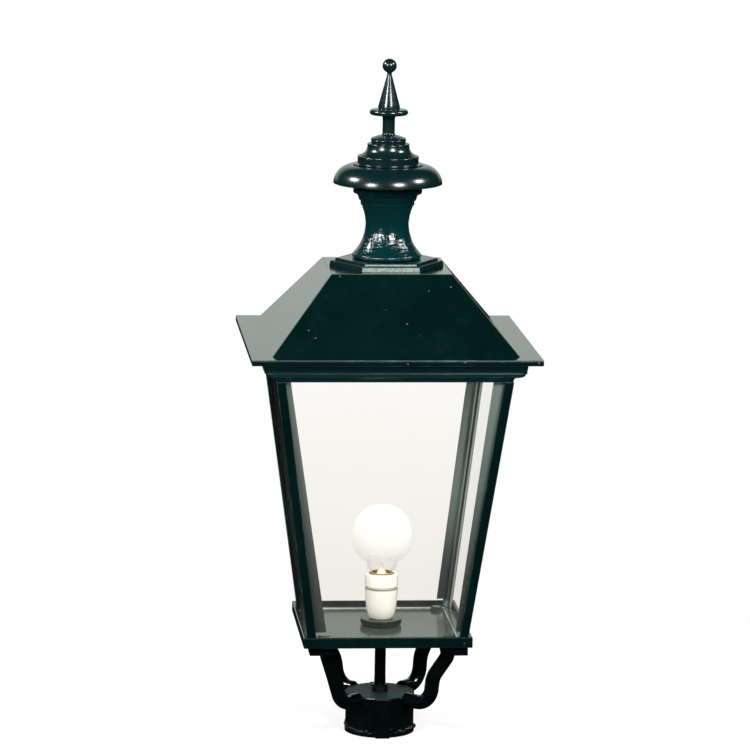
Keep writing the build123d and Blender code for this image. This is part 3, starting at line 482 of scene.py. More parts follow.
def bare_metal(name, bright, dull, roughness, scratch=0.25):
    metal = new_finish(name)
    place = metal.place()
    patch = metal.noise(place, 140.0, 4.0).above(0.38, 0.70)
    lines = metal.noise(metal.stretched(place, (1.0, 1.0, 14.0)), 420.0, 2.0)
    values = {
        "Base Color": metal.colours(patch, bright, dull),
        "Metallic": 1 - patch * 0.25,
        "Roughness": roughness + patch * 0.22 + lines * 0.08,
        "Normal": metal.bump(lines * scratch + patch * 0.3, 0.5, 0.05 * MM),
    }
    return metal.principled(values)


zinc_plate = bare_metal("zinc_plated_steel", rgb(0.55, 0.55, 0.53), rgb(0.30, 0.29, 0.26), 0.30)
bright_brass = bare_metal("cap_brass", rgb(0.85, 0.66, 0.36), rgb(0.58, 0.42, 0.22), 0.34)
grey_solder = bare_metal("tip_solder", rgb(0.50, 0.50, 0.50), rgb(0.26, 0.26, 0.26), 0.42)
lead_wire = bare_metal("lead_wire", rgb(0.36, 0.33, 0.30), rgb(0.16, 0.14, 0.12), 0.35)

# %% [markdown]
# ## Porcelain and glass
# The lampholder is glazed porcelain, warm white, with a painted dark line of shade in its groove.
# The panes are thin clear glass that only dims what stands behind, with a film of dust that
# thickens towards the tray. The lamp's globe is white above, where it glows, and clear at its
# neck, where its stem and leads show.

# %% Porcelain and black glass


GROOVE_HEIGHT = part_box("lampholder_ring")[0].z


def porcelain_finish():
    glaze = new_finish("glazed_porcelain")
    place = glaze.place()
    cloud = glaze.noise(place, 60.0)
    pores = 1 - glaze.dots(place, 900.0).above(0.04, 0.12)
    grime = glaze.noise(place, 210.0, 4.0).above(0.60, 0.80) * 0.25
    clean = glaze.colours(cloud, rgb(0.70, 0.69, 0.63), rgb(0.74, 0.73, 0.69))
    # Painted shade: a dark line round the groove under the upper ring.
    off_groove = (glaze.part(place, "Z") - GROOVE_HEIGHT).magnitude()
    clean = glaze.colours((1 - off_groove.above(0.4 * MM, 1.5 * MM)) * 0.9, clean, rgb(0.20, 0.19, 0.17))
    values = {
        "Base Color": glaze.colours((grime + pores * 0.3).clamped(), clean, rgb(0.55, 0.51, 0.42)),
        "Roughness": 0.16 + cloud * 0.12,
        "Normal": glaze.bump(cloud * 0.3 + pores * -0.2, 0.6, 0.08 * MM),
        "Coat Weight": 0.5,
        "Coat Roughness": 0.08,
    }
    return glaze.principled(values)


def black_glass_finish():
    glass = new_finish("black_glass")
    flow = glass.noise(glass.place(), 300.0)
    colour = glass.colours(flow, rgb(0.006, 0.006, 0.008), rgb(0.03, 0.028, 0.03))
    values = {
        "Base Color": colour,
        "Roughness": 0.10 + flow * 0.1,
        "Normal": glass.bump(flow, 0.4, 0.05 * MM),
    }
    return glass.principled(values)


# %% Window glass


def pane_finish():
    glass = new_finish("window_glass")
    place = glass.place()
    rise = (glass.part(place, "Z") - CAGE_FOOT) / (CAGE_TOP - CAGE_FOOT)
    smear = glass.noise(glass.stretched(place, (1.0, 1.0, 0.35)), 26.0, 4.0)
    low = (1 - rise).clamped()
    film = 0.002 + 0.010 * low + 0.005 * smear.above(0.45, 0.80)
    clean = glass.node("ShaderNodeBsdfTransparent", {}, {"Color": rgb(0.999, 0.997, 0.989)})
    grimy = glass.node("ShaderNodeBsdfTransparent", {}, {"Color": rgb(0.963, 0.956, 0.940)})
    clear = glass.mixed(low, clean, grimy)
    dust = glass.node("ShaderNodeBsdfDiffuse", {}, {"Color": rgb(0.50, 0.47, 0.42)})
    gloss = glass.node("ShaderNodeBsdfAnisotropic", {}, {"Color": rgb(1, 1, 1), "Roughness": 0.03})
    mirror = glass.node("ShaderNodeFresnel", {}, {"IOR": 1.45})
    return glass.end(glass.mixed(mirror * 0.08, glass.mixed(film, clear, dust), gloss))


# %% Lamp glass
GLOW = 0.70
STEM_GLOW = 0.35


def globe_finish():
    low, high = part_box("bulb_glass")
    globe = new_finish("lamp_glass_white")
    place = globe.place()
    rise = (globe.part(place, "Z") - low.z) / (high.z - low.z)
    ripple = globe.noise(place, 55.0, 3.0)
    coated = (rise + (ripple - 0.5) * 0.16).above(0.16, 0.42) * 0.97
    clear = globe.node("ShaderNodeBsdfTransparent", {}, {"Color": rgb(0.99, 0.985, 0.97)})
    tone = globe.colours(rise.above(0.3, 0.8), rgb(0.97, 0.955, 0.91), rgb(1.0, 0.99, 0.97))
    pale = globe.colours(0.78, tone, rgb(0, 0, 0))
    milk = {"Base Color": pale, "Roughness": 0.20 + ripple * 0.1, "Emission Color": tone,
            "Emission Strength": GLOW, "Normal": globe.bump(ripple, 0.3, 0.2 * MM)}
    milky = globe.node("ShaderNodeBsdfPrincipled", {}, milk)
    gloss = globe.node("ShaderNodeBsdfAnisotropic", {}, {"Color": rgb(1, 1, 1), "Roughness": 0.04})
    mirror = globe.node("ShaderNodeFresnel", {}, {"IOR": 1.45})
    return globe.end(globe.mixed(mirror * 0.08, globe.mixed(coated, clear, milky), gloss))


def stem_finish():
    """The pressed glass foot inside the lamp's neck, milky where it was fused."""
    stem = new_finish("lamp_stem_glass")
    streak = stem.noise(stem.place(), 160.0)
    tone = stem.colours(streak, rgb(0.86, 0.83, 0.74), rgb(0.66, 0.62, 0.52))
    values = {"Base Color": tone, "Roughness": 0.12 + streak * 0.1, "Emission Color": tone,
              "Emission Strength": STEM_GLOW, "Normal": stem.bump(streak, 0.3, 0.1 * MM)}
    return stem.principled(values)


porcelain = porcelain_finish()
black_glass = black_glass_finish()
window_glass = pane_finish()
lamp_glass = globe_finish()
stem_glass = stem_finish()

# %% [markdown]
# ## Putty
# Old glazing putty is dull and grey-white, and it is never smooth: it is pressed in with a
# knife. One noise moves its colour, its roughness and its bump together, so that the raised
# patches are the darker and duller ones.

# %% Putty


def putty_finish():
    paste = new_finish("glazing_putty")
    lumps = paste.noise(paste.place(), 180.0, 3.0)
    colour = paste.colours(lumps.above(0.4, 0.7), rgb(0.50, 0.53, 0.49), rgb(0.30, 0.33, 0.30))
    values = {
        "Base Color": colour,
        "Roughness": 0.35 + lumps * 0.2,
        "Normal": paste.bump(lumps, 0.5, 0.3 * MM),
    }
    return paste.principled(values)


putty = putty_finish()

# %% [markdown]
# ## Rounded edges
# No real edge is knife sharp. Cast, folded and welded metal has a radius of half a millimetre
# to two, and that radius can catch a lamp along a roof or a frame. The solids are sharp, so
# each is copied, its loose triangles are merged, and a bevel rounds its edges. The bevel's own
# faces get the edge paint, which is pale partly from wear and partly as a painted highlight
# line along the edges.

# %% Dressing a solid
SHARP = math.radians(32)
SHARP_TUBE = math.radians(60)
SHARP_BLOB = math.radians(80)
MERGE = 0.002 * MM
FLAT = math.radians(0.5)


def new_piece(name, mesh, body, slot, *replaced):
    """Links a finished mesh as a piece that rides on a body and stands for some nodes."""
    made = bpy.data.objects.new(name, mesh)
    bpy.context.scene.collection.objects.link(made)
    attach(made, body)
    if replaced:
        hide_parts(*replaced)
    return made


def plain_mesh(made):
    """The evaluated mesh of an object with modifiers, on its own."""
    depsgraph = bpy.context.evaluated_depsgraph_get()
    return bpy.data.meshes.new_from_object(made.evaluated_get(depsgraph), depsgraph=depsgraph)


def merged_copy(node):
    """A copy of a node's mesh with its triangles joined and its flat faces made whole."""
    mesh = nodes[node].data.copy()
    work = bmesh.new()
    work.from_mesh(mesh)
    bmesh.ops.remove_doubles(work, verts=work.verts, dist=MERGE)
    bmesh.ops.dissolve_limit(work, angle_limit=FLAT, verts=work.verts, edges=work.edges)
    work.to_mesh(mesh)
    work.free()
    if "custom_normal" in mesh.attributes:
        mesh.attributes.remove(mesh.attributes["custom_normal"])
    return mesh


def dressed(node, name, slot, finish, edge=None, width=0.6, segments=2, shift=None):
    """Replaces a node by a copy whose sharp edges are rounded, width in millimetres."""
    mesh = merged_copy(node)
    mesh.materials.clear()
    mesh.materials.append(finish)
    mesh.materials.append(edge or finish)
    for face in mesh.polygons:
        face.material_index = 0
        face.use_smooth = True
    if shift:
        for point in mesh.vertices:
            point.co = shift(point.co)
    helper = bpy.data.objects.new(name, mesh)
    bpy.context.scene.collection.objects.link(helper)
    if width:
        bevel = helper.modifiers.new("edge", "BEVEL")
        bevel.width = width * MM
        bevel.segments = segments
        bevel.limit_method = "ANGLE"
        bevel.angle_limit = SHARP
        bevel.harden_normals = True
        bevel.use_clamp_overlap = True
        bevel.material = 1 if edge else -1
    else:
        mesh.set_sharp_from_angle(angle=SHARP)
    finished = plain_mesh(helper)
    finished.name = name
    bpy.data.objects.remove(helper)
    return new_piece(name, finished, nodes[node]["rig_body"], slot, node)


# %% [markdown]
# ## Castings and cage
# Socket, hub, arms, tray and cornice are castings, and the corner posts are leaning angle
# sections. Their solids already have the right shape, so nothing is modelled again: each is
# dressed as above, with a wider radius the heavier the casting is. In the photo the back right
# corner is pale on its inner side, and the back left strip is dark. These two only follow the
# photo, with finishes of their own: the back right post and strip get painted sheen, and the
# back left strip keeps the plain frame paint.

# %% Castings and cage
CORNERS = ("front_left", "front_right", "back_left", "back_right")
dressed("post_socket", "socket_casting", "green_paint", paint_cast, paint_cast, 0.9)
dressed("hub_plate", "hub_casting", "hub_paint", paint_hub, paint_hub, 1.2)
dressed("tray", "tray_casting", "green_paint", paint_tray, paint_edge, 0.7)
dressed("glass_rail", "glass_seat_rail", "green_paint", paint_tray, paint_edge, 0.5)
dressed("top_frame", "cornice_casting", "green_paint", paint_cornice, paint_edge, 0.6)
dressed("holder_base", "holder_base_disc", "green_paint", paint_turned, paint_edge, 0.8, 3)
# The back right post and strip carry painted sheen; the back left strip keeps the plain frame paint.
POST_FINISH = {"back_right": paint_inner_sheen}
BEAD_FINISH = {"back_right": paint_bead_back, "back_left": paint_frame}
for corner in CORNERS:
    post_finish = POST_FINISH.get(corner, paint_frame)
    bead_finish = BEAD_FINISH.get(corner, paint_bead)
    dressed(f"arm_{corner}", f"arm_casting_{corner}", "green_paint", paint_cast, paint_cast, 1.0)
    dressed(f"post_{corner}", f"corner_post_{corner}", "green_paint", post_finish, paint_edge, 0.8)
    dressed(f"glazing_bead_{corner}", f"glazing_strip_{corner}", "green_paint",
            bead_finish, bead_finish, 0.4)
print("lower castings and cage dressed")

# %% [markdown]
# ## Roof
# The roof is folded sheet: a wide flat brim, four sloping sides that meet in soft hips, and a
# hem turned down under the brim. Sheet never lies quite flat, and its hips and brim edges have
# a fold's radius. The hem is four strips that meet in an open mitre at each corner. Only the
# outer edges are pale, partly from wear and partly as a painted highlight line. The fold
# between the slopes and the brim is a hollow, where nothing rubs, so its faces get the plain
# sheet finish back.

# %% Roof, hem and plinth
WAVE = 0.35
WAVE_RATE = 9
FOLD_TOP = 514.0 * MM
BRIM_INSIDE = 175.0 * MM


def slightly_wavy(point):
    """Sheet metal that is a third of a millimetre off true, more slowly than the eye sees."""
    lift = noise.noise(Vector((point.x * WAVE_RATE, point.y * WAVE_RATE, point.z * WAVE_RATE)))
    return point + Vector((0, 0, min(lift, 0) * WAVE * MM))


roof_sheet = dressed("roof_shell", "roof_sheet", "green_paint", paint_sheet, paint_roof_edge, 0.7, 3)
fold_faces = 0
for face in roof_sheet.data.polygons:
    middle = face.center
    if middle.z < FOLD_TOP and max(abs(middle.x), abs(middle.y)) < BRIM_INSIDE:
        face.material_index = 0
        fold_faces += 1
dressed("roof_hem", "brim_hem", "green_paint", paint_sheet, paint_edge, 0.4, 2, slightly_wavy)
dressed("hex_plinth", "stepped_plinth", "green_paint", paint_plinth, paint_plinth, 0.5)
print("fold faces:", fold_faces)

# %% [markdown]
# ## Chimney neck
# The neck is the roughest casting of all. It was poured in a split mould: a parting ridge runs
# down it, and the lower half sparkles, because the sand left it pitted and lumpy under the
# gloss. A lathe profile with many rings makes the shape, and every point is then moved in or
# out a little by noise, most near the foot.

# %% Chimney neck
NECK_ROUND = 256
NECK_BORE = 23.6
NECK_PROFILE = [
    (23.6, 0.0), (41.6, 0.0), (43.0, 1.0), (43.8, 2.2), (44.0, 3.5), (43.6, 5.2), (42.4, 6.6),
    (41.5, 7.3), (41.0, 8.2), (38.6, 11.0), (35.4, 15.6), (32.4, 21.2), (30.2, 27.0), (28.5, 33.5),
    (27.6, 39.5), (27.4, 43.5), (27.7, 48.0), (28.5, 53.5), (29.8, 59.0), (31.4, 63.6), (32.5, 66.9),
    (32.6, 67.8), (34.0, 68.0), (34.1, 70.4), (33.9, 72.4), (34.6, 73.2), (35.9, 73.8), (36.9, 76.4),
    (38.0, 80.2), (38.3, 81.6), (38.2, 82.0), (41.6, 82.1), (43.2, 83.0), (43.7, 84.4), (43.7, 88.8),
    (43.1, 89.6), (23.6, 89.6),
]
NECK_RING_TOP = 82.0
NECK_COLLAR_TOP = 89.0
NECK_RING_STEP = 0.8
PARTING_TURN = math.radians(-117)
PARTING_WANDER = math.radians(9)
PARTING_RIDGE = 0.45
PARTING_GROOVE = 1.0
PARTING_WIDTH = 0.8
PARTING_GAP = 1.5
SAND_TOP = 58
SAND_FADE = 26
LUMP_SPAN = 5.5
LUMP_DEPTH = 0.22
FINE_SPAN = 2.2
FINE_DEPTH = 0.12
PIT_SPAN = 1.5
PIT_DEPTH = 0.35
CAST_INSET = 0.12


def lathe_mesh(name, profile, turns, foot, step=1.0):
    """A closed turned shape: the profile, with long spans divided, swept round the Z axis."""
    rings = []
    for (r0, z0), (r1, z1) in zip(profile, profile[1:]):
        count = max(1, round(math.hypot(r1 - r0, z1 - z0) / step))
        rings += [(r0 + (r1 - r0) * k / count, z0 + (z1 - z0) * k / count) for k in range(count)]
    rings.append(profile[-1])
    work = bmesh.new()
    loops = []
    for radius, rise in rings:
        circle = []
        for k in range(turns):
            angle = 2 * math.pi * k / turns
            spot = (radius * MM * math.cos(angle), radius * MM * math.sin(angle), foot + rise * MM)
            circle.append(work.verts.new(spot))
        loops.append(circle)
    for lower, upper in zip(loops, loops[1:] + loops[:1]):
        for k in range(turns):
            n = (k + 1) % turns
            work.faces.new((lower[k], lower[n], upper[n], upper[k]))
    bmesh.ops.recalc_face_normals(work, faces=work.faces)
    mesh = bpy.data.meshes.new(name)
    work.to_mesh(mesh)
    work.free()
    for face in mesh.polygons:
        face.use_smooth = True
    return mesh


def cast_surface(mesh, foot):
    """Moves each outer point of the neck by the lumps and pits of its casting."""
    for point in mesh.vertices:
        out = Vector((point.co.x, point.co.y, 0))
        rise = (point.co.z - foot) / MM
        if out.length < (NECK_BORE + 1) * MM or rise > NECK_COLLAR_TOP:
            continue
        lower = max(0.0, min(1.0, (SAND_TOP - rise) / SAND_FADE))
        spot = point.co / MM
        lump = noise.noise(spot / LUMP_SPAN) * LUMP_DEPTH
        lump += noise.noise(spot / FINE_SPAN + Vector((40, 0, 0))) * FINE_DEPTH * lower
        pit = min(0.0, noise.noise(spot / PIT_SPAN) + 0.22) * PIT_DEPTH * lower
        ridge_turn = PARTING_TURN - PARTING_WANDER * lower
        off = (math.atan2(point.co.y, point.co.x) - ridge_turn) * out.length / MM
        ridge = PARTING_RIDGE * math.exp(-(off / PARTING_WIDTH) ** 2)
        ridge -= PARTING_GROOVE * math.exp(-((off + PARTING_GAP) / PARTING_WIDTH) ** 2)
        if rise > NECK_RING_TOP:
            ridge = 0
        move = lump * (0.35 + 0.65 * lower) + pit + ridge * (0.4 + 0.6 * lower) - CAST_INSET
        point.co += out.normalized() * move * MM


neck_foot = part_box("chimney")[0].z
neck_mesh = lathe_mesh("chimney_casting", NECK_PROFILE, NECK_ROUND, neck_foot, NECK_RING_STEP)
cast_surface(neck_mesh, neck_foot)
neck_mesh.materials.append(paint_neck)
new_piece("chimney_casting", neck_mesh, "roof", "green_paint", "chimney")
print("chimney neck:", len(neck_mesh.polygons), "faces")

# %% [markdown]
# ## Vent cap and finial
# Both were turned, so their faces are smooth and their highlights are crisp. The solids
# already have the right outline. They only need their edges rounded.

# %% Vent cap and finial
dressed("vent_cap", "vent_cap_casting", "green_paint", paint_turned, paint_turned, 0.5, 3)
dressed("finial", "turned_finial", "green_paint", paint_turned, paint_turned, 0.5, 3)
print("cap and finial dressed")

# %% [markdown]
# ## Fasteners from Geometry Nodes
# The tray is bolted to the arms by four hex bolts on washers. One tree builds a bolt head,
# with its chamfer and washer, from named sizes, and sets it on each corner of a grid, so a
# different pitch or head needs one number.

# %% Geometry Nodes helper


class Tree:
    """A Geometry Nodes tree with named inputs, and one method for every kind of node."""

    def __init__(self, name, sizes):
        self.tree = bpy.data.node_groups.new(name, "GeometryNodeTree")
        self.tree.is_modifier = True
        face = self.tree.interface
        face.new_socket("Geometry", in_out="INPUT", socket_type="NodeSocketGeometry")
        self.ids = {}
        for label, size in sizes.items():
            made = face.new_socket(label, in_out="INPUT", socket_type="NodeSocketFloat")
            made.default_value = size
            self.ids[label] = made.identifier
        face.new_socket("Geometry", in_out="OUTPUT", socket_type="NodeSocketGeometry")
        self.start = self.tree.nodes.new("NodeGroupInput")

    def size(self, label):
        return self.start.outputs[label]

    def node(self, kind, settings, sockets, out=0):
        made = self.tree.nodes.new(kind)
        for name, setting in settings.items():
            setattr(made, name, setting)
        for key, value in sockets.items():
            if isinstance(value, bpy.types.NodeSocket):
                self.tree.links.new(value, made.inputs[key])
            else:
                made.inputs[key].default_value = value
        return made.outputs[out] if made.outputs else made

    def math(self, operation, first, second):
        return self.node("ShaderNodeMath", {"operation": operation}, {0: first, 1: second})

    def vector(self, x=0.0, y=0.0, z=0.0):
        return self.node("ShaderNodeCombineXYZ", {}, {0: x, 1: y, 2: z})

    def moved(self, shape, offset):
        return self.node("GeometryNodeTransform", {}, {"Geometry": shape, "Translation": offset})

    def circle(self, radius, resolution):
        return self.node("GeometryNodeCurvePrimitiveCircle", {}, {
            "Resolution": resolution, "Radius": self.size(radius)})

    def tube(self, path, radius, resolution=10, caps=False):
        """A round section swept along a path; radius is the name of an input."""
        section = self.circle(radius, resolution)
        return self.node("GeometryNodeCurveToMesh", {}, {
            "Curve": path, "Profile Curve": section, "Fill Caps": caps})

    def square(self, rounded=False):
        """A square path from the inputs side and height, and corner where it is rounded."""
        side = self.size("side")
        path = self.node("GeometryNodeCurvePrimitiveQuadrilateral", {}, {"Width": side, "Height": side})
        if rounded:
            path = self.node("GeometryNodeFilletCurve", {"mode": "POLY"}, {
                "Curve": path, "Count": 8, "Radius": self.size("corner")})
        return self.moved(path, self.vector(z=self.size("height")))

    def joined(self, *shapes):
        made = self.tree.nodes.new("GeometryNodeJoinGeometry")
        for shape in reversed(shapes):
            self.tree.links.new(shape, made.inputs[0])
        return made.outputs[0]

    def run(self, name, finish, shape, values):
        """Ends the tree, runs it on an empty mesh and returns the plain mesh."""
        real = self.node("GeometryNodeRealizeInstances", {}, {0: shape})
        painted = self.node("GeometryNodeSetMaterial", {}, {"Geometry": real, "Material": finish})
        end = self.tree.nodes.new("NodeGroupOutput")
        self.tree.links.new(painted, end.inputs[0])
        host = bpy.data.objects.new(name, bpy.data.meshes.new(name))
        bpy.context.scene.collection.objects.link(host)
        modifier = host.modifiers.new("tree", "NODES")
        modifier.node_group = self.tree
        for label, value in values.items():
            modifier[self.ids[label]] = value
        mesh = plain_mesh(host)
        mesh.name = name
        bpy.data.objects.remove(host)
        return mesh


def shade_by_angle(mesh, angle=SHARP):
    for face in mesh.polygons:
        face.use_smooth = True
    mesh.set_sharp_from_angle(angle=angle)
    return mesh


# %% Corner bolts
bolt_low, bolt_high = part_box("corner_bolts")
BOLT_SIZES = {
    "pitch": bolt_high.x - bolt_low.x - 13.0 * MM,
    "foot": bolt_low.z,
    "seat": bolt_high.z - BOLT_HEAD,
    "head height": BOLT_HEAD,
    "head radius": 7.5 * MM,
    "shank radius": 4.0 * MM,
    "washer radius": 8.6 * MM,
    "washer height": 1.2 * MM,
}
FLATS_SHARE = 0.8
CROWN_SHARE = 0.2
CROWN_TAPER = 0.84


def bolt_mesh():
    tree = Tree("corner_bolts", BOLT_SIZES)
    head_height, washer_height = tree.size("head height"), tree.size("washer height")
    washer_rise = tree.math("MULTIPLY", washer_height, 0.5)
    washer = tree.node("GeometryNodeMeshCylinder", {}, {
        "Vertices": 40, "Radius": tree.size("washer radius"), "Depth": washer_height})
    washer = tree.moved(washer, tree.vector(z=washer_rise))
    body_height = tree.math("SUBTRACT", head_height, washer_height)
    flat_height = tree.math("MULTIPLY", body_height, FLATS_SHARE)
    flats = tree.node("GeometryNodeMeshCylinder", {}, {
        "Vertices": 6, "Radius": tree.size("head radius"), "Depth": flat_height})
    flats_rise = tree.math("ADD", washer_height, tree.math("MULTIPLY", flat_height, 0.5))
    flats = tree.moved(flats, tree.vector(z=flats_rise))
    crown_height = tree.math("MULTIPLY", body_height, CROWN_SHARE)
    crown = tree.node("GeometryNodeMeshCone", {}, {
        "Vertices": 6, "Radius Bottom": tree.size("head radius"),
        "Radius Top": tree.math("MULTIPLY", tree.size("head radius"), CROWN_TAPER),
        "Depth": crown_height})
    crown = tree.moved(crown, tree.vector(z=tree.math("ADD", washer_height, flat_height)))
    length = tree.math("SUBTRACT", tree.size("seat"), tree.size("foot"))
    shank = tree.node("GeometryNodeMeshCylinder", {}, {
        "Vertices": 24, "Radius": tree.size("shank radius"), "Depth": length})
    shank = tree.moved(shank, tree.vector(z=tree.math("MULTIPLY", length, -0.5)))
    grid = tree.node("GeometryNodeMeshGrid", {}, {
        "Size X": tree.size("pitch"), "Size Y": tree.size("pitch"), "Vertices X": 2, "Vertices Y": 2})
    grid = tree.moved(grid, tree.vector(z=tree.size("seat")))
    bolts = tree.node("GeometryNodeInstanceOnPoints", {}, {
        "Points": grid, "Instance": tree.joined(washer, flats, crown, shank)})
    return tree.run("corner_bolt_set", paint_tray, bolts, BOLT_SIZES)


bolts = shade_by_angle(bolt_mesh())
new_piece("corner_bolt_set", bolts, "root", "green_paint", "corner_bolts")
print("corner bolts:", len(bolts.polygons), "faces")

# %% [markdown]
# ## Threads and weld beads
# Rings round a rod and blobs along a joint are the same idea: one small shape repeated along
# a path. The tree below winds a thin round section up a spiral, for the pipe's threaded end,
# and the next one strews weld ripples along the foot of each corner post.

# %% Thread


def thread_mesh(name, finish, radius, depth, foot, length, pitch):
    sizes = {"radius": radius, "depth": depth, "foot": foot, "length": length, "pitch": pitch}
    tree = Tree(name, sizes)
    turns = tree.math("DIVIDE", tree.size("length"), tree.size("pitch"))
    spiral = tree.node("GeometryNodeCurveSpiral", {}, {
        "Resolution": 40, "Rotations": turns, "Start Radius": tree.size("radius"),
        "End Radius": tree.size("radius"), "Height": tree.size("length")})
    ridge = tree.tube(spiral, "depth", 6, True)
    return tree.run(name, finish, tree.moved(ridge, tree.vector(z=tree.size("foot"))), sizes)


PIPE_RADIUS = 7.2 * MM
THREAD_DEPTH = 0.35 * MM
THREAD_PITCH = 1.34 * MM
THREAD_LENGTH = 9 * MM
hub_nut_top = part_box("pipe_nut_hub")[1].z
thread = thread_mesh("pipe_thread_hub", paint_pipe, PIPE_RADIUS, THREAD_DEPTH,
                     hub_nut_top, THREAD_LENGTH, THREAD_PITCH)
new_piece("pipe_thread_hub", shade_by_angle(thread, SHARP_TUBE), "root", "pipe_paint")
print("thread:", len(thread.polygons), "faces")

# %% Weld beads
BEAD_WIDTH = 1.5 * MM
BEAD_STEP = 2.6 * MM
LEG = 11.0 * MM


def weld_mesh(name, half, height):
    """Ripples of weld along both legs of all four posts, where they meet a flat face."""
    sizes = {"half": half, "height": height, "leg": LEG, "bead": BEAD_WIDTH, "step": BEAD_STEP}
    tree = Tree(name, sizes)
    runs = []
    for side_x in (-1.0, 1.0):
        for side_y in (-1.0, 1.0):
            for along_x in (True, False):
                corner_x = tree.math("MULTIPLY", tree.size("half"), side_x)
                corner_y = tree.math("MULTIPLY", tree.size("half"), side_y)
                start = tree.vector(corner_x, corner_y, tree.size("height"))
                leg_x = tree.math("MULTIPLY", tree.size("leg"), -side_x if along_x else 0.0)
                leg_y = tree.math("MULTIPLY", tree.size("leg"), 0.0 if along_x else -side_y)
                reach = tree.node("ShaderNodeVectorMath", {"operation": "ADD"},
                                  {0: start, 1: tree.vector(leg_x, leg_y)})
                runs.append(tree.node("GeometryNodeCurvePrimitiveLine", {}, {"Start": start, "End": reach}))
    points = tree.node("GeometryNodeCurveToPoints", {"mode": "LENGTH"}, {
        "Curve": tree.joined(*runs), "Length": tree.size("step")})
    blob = tree.node("GeometryNodeMeshIcoSphere", {}, {"Radius": tree.size("bead"), "Subdivisions": 3})
    scale = tree.node("FunctionNodeRandomValue", {"data_type": "FLOAT"}, {2: 0.75, 3: 1.15, "Seed": 7}, 1)
    ripples = tree.node("GeometryNodeInstanceOnPoints", {}, {
        "Points": points, "Instance": blob, "Scale": scale})
    return tree.run(name, paint_cast, ripples, sizes)


CAGE_FOOT_HALF = 101.2 * MM
post_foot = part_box("post_front_left")[0].z
weld_foot = weld_mesh("weld_beads_foot", CAGE_FOOT_HALF, post_foot)
new_piece("weld_beads_foot", shade_by_angle(weld_foot, SHARP_BLOB), "root", "green_paint")
print("weld beads:", len(weld_foot.polygons), "faces")

# %% [markdown]
# ## Socket rim and putty line
# The socket's lip looks as if it was welded on and painted over: a rough, lumpy ring.
# Points along a circle are pushed about a little, each gets a ball of its own size, and the
# seeds are fixed, so that the ring is the same each time. The putty is the same idea without
# the chance: a round section swept along a square.

# %% Socket rim and putty line
RIM_STEP = 6.4 * MM
RIM_LUMP = 3.0 * MM
RIM_HEIGHT = 6.0 * MM
RIM_SHIFT_LOW = (-0.0008, -0.0008, -0.0020)
RIM_SHIFT_HIGH = (0.0008, 0.0008, 0.0030)
PUTTY = 0.9 * MM
PUTTY_RISE = 0.6 * MM


def rim_mesh(radius, height):
    """The lumpy weld that runs round the socket above its lip."""
    sizes = {"radius": radius, "height": height, "lump": RIM_LUMP, "step": RIM_STEP}
    tree = Tree("socket_rim_weld", sizes)
    ring = tree.moved(tree.circle("radius", 96), tree.vector(z=tree.size("height")))
    points = tree.node("GeometryNodeCurveToPoints", {"mode": "LENGTH"}, {
        "Curve": ring, "Length": tree.size("step")})
    shift = tree.node("FunctionNodeRandomValue", {"data_type": "FLOAT_VECTOR"}, {
        0: RIM_SHIFT_LOW, 1: RIM_SHIFT_HIGH, "Seed": 3})
    points = tree.node("GeometryNodeSetPosition", {}, {"Geometry": points, "Offset": shift})
    lump = tree.node("GeometryNodeMeshIcoSphere", {}, {"Radius": tree.size("lump"), "Subdivisions": 3})
    scale = tree.node("FunctionNodeRandomValue", {"data_type": "FLOAT"}, {2: 0.6, 3: 1.1, "Seed": 11}, 1)
    lumps = tree.node("GeometryNodeInstanceOnPoints", {}, {
        "Points": points, "Instance": lump, "Scale": scale})
    return tree.run("socket_rim_weld", paint_cast, lumps, sizes)


def putty_mesh(half, height):
    """The fillet of putty between the glass seat rail and the tray's floor."""
    sizes = {"side": 2 * half, "height": height, "putty": PUTTY}
    tree = Tree("putty_line", sizes)
    return tree.run("putty_line", putty, tree.tube(tree.square(), "putty"), sizes)


SOCKET_RADIUS = 43.3 * MM
RAIL_WIDTH = 3.0 * MM
rim_weld = shade_by_angle(rim_mesh(SOCKET_RADIUS, RIM_HEIGHT), SHARP_BLOB)
new_piece("socket_rim_weld", rim_weld, "root", "green_paint")
rail_low, rail_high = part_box("glass_rail")
putty_line = putty_mesh(rail_high.x - RAIL_WIDTH, rail_low.z + PUTTY_RISE)
shade_by_angle(putty_line, SHARP_TUBE)
new_piece("putty_line", putty_line, "root", "green_paint")
print("rim weld:", len(rim_weld.polygons), "faces; putty:", len(putty_line.polygons))

# %% [markdown]
# ## Fine mouldings
# A cornice shows more lines than its section has steps, because thin ridges and beads each
# draw a light and a dark one. The cornice's ridge is a round section swept along a square with
# rounded corners. The cap's three beads are small circles swept round its axis on the lathe.

# %% Fine mouldings
CORNICE_CORNER = 9.0 * MM
CORNICE_RIDGE = 1.1 * MM
CORNICE_RISE = 13.0 * MM
CORNICE_SET_BACK = 2.0 * MM
BEAD_SIDES = 12
BEAD_TURNS = 160
CAP_BEADS = {"top": (60.0, 21.2, 1.2), "bell": (54.5, 25.6, 1.2), "shoulder": (38.9, 37.6, 1.4)}


def cornice_line(half, height):
    """The thin ridge that runs round the cornice, a little below its middle."""
    sizes = {"side": 2 * half, "height": height, "corner": CORNICE_CORNER, "ridge": CORNICE_RIDGE}
    tree = Tree("cornice_ridge", sizes)
    line = tree.tube(tree.square(rounded=True), "ridge")
    return tree.run("cornice_ridge", paint_edge, line, sizes)


cornice_low, cornice_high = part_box("top_frame")
# The ridge wears the pale edge paint, so its light line is partly a painted highlight.
ridge = cornice_line(cornice_high.x - CORNICE_SET_BACK, cornice_low.z + CORNICE_RISE)
new_piece("cornice_ridge", shade_by_angle(ridge, SHARP_BLOB), "root", "green_paint")

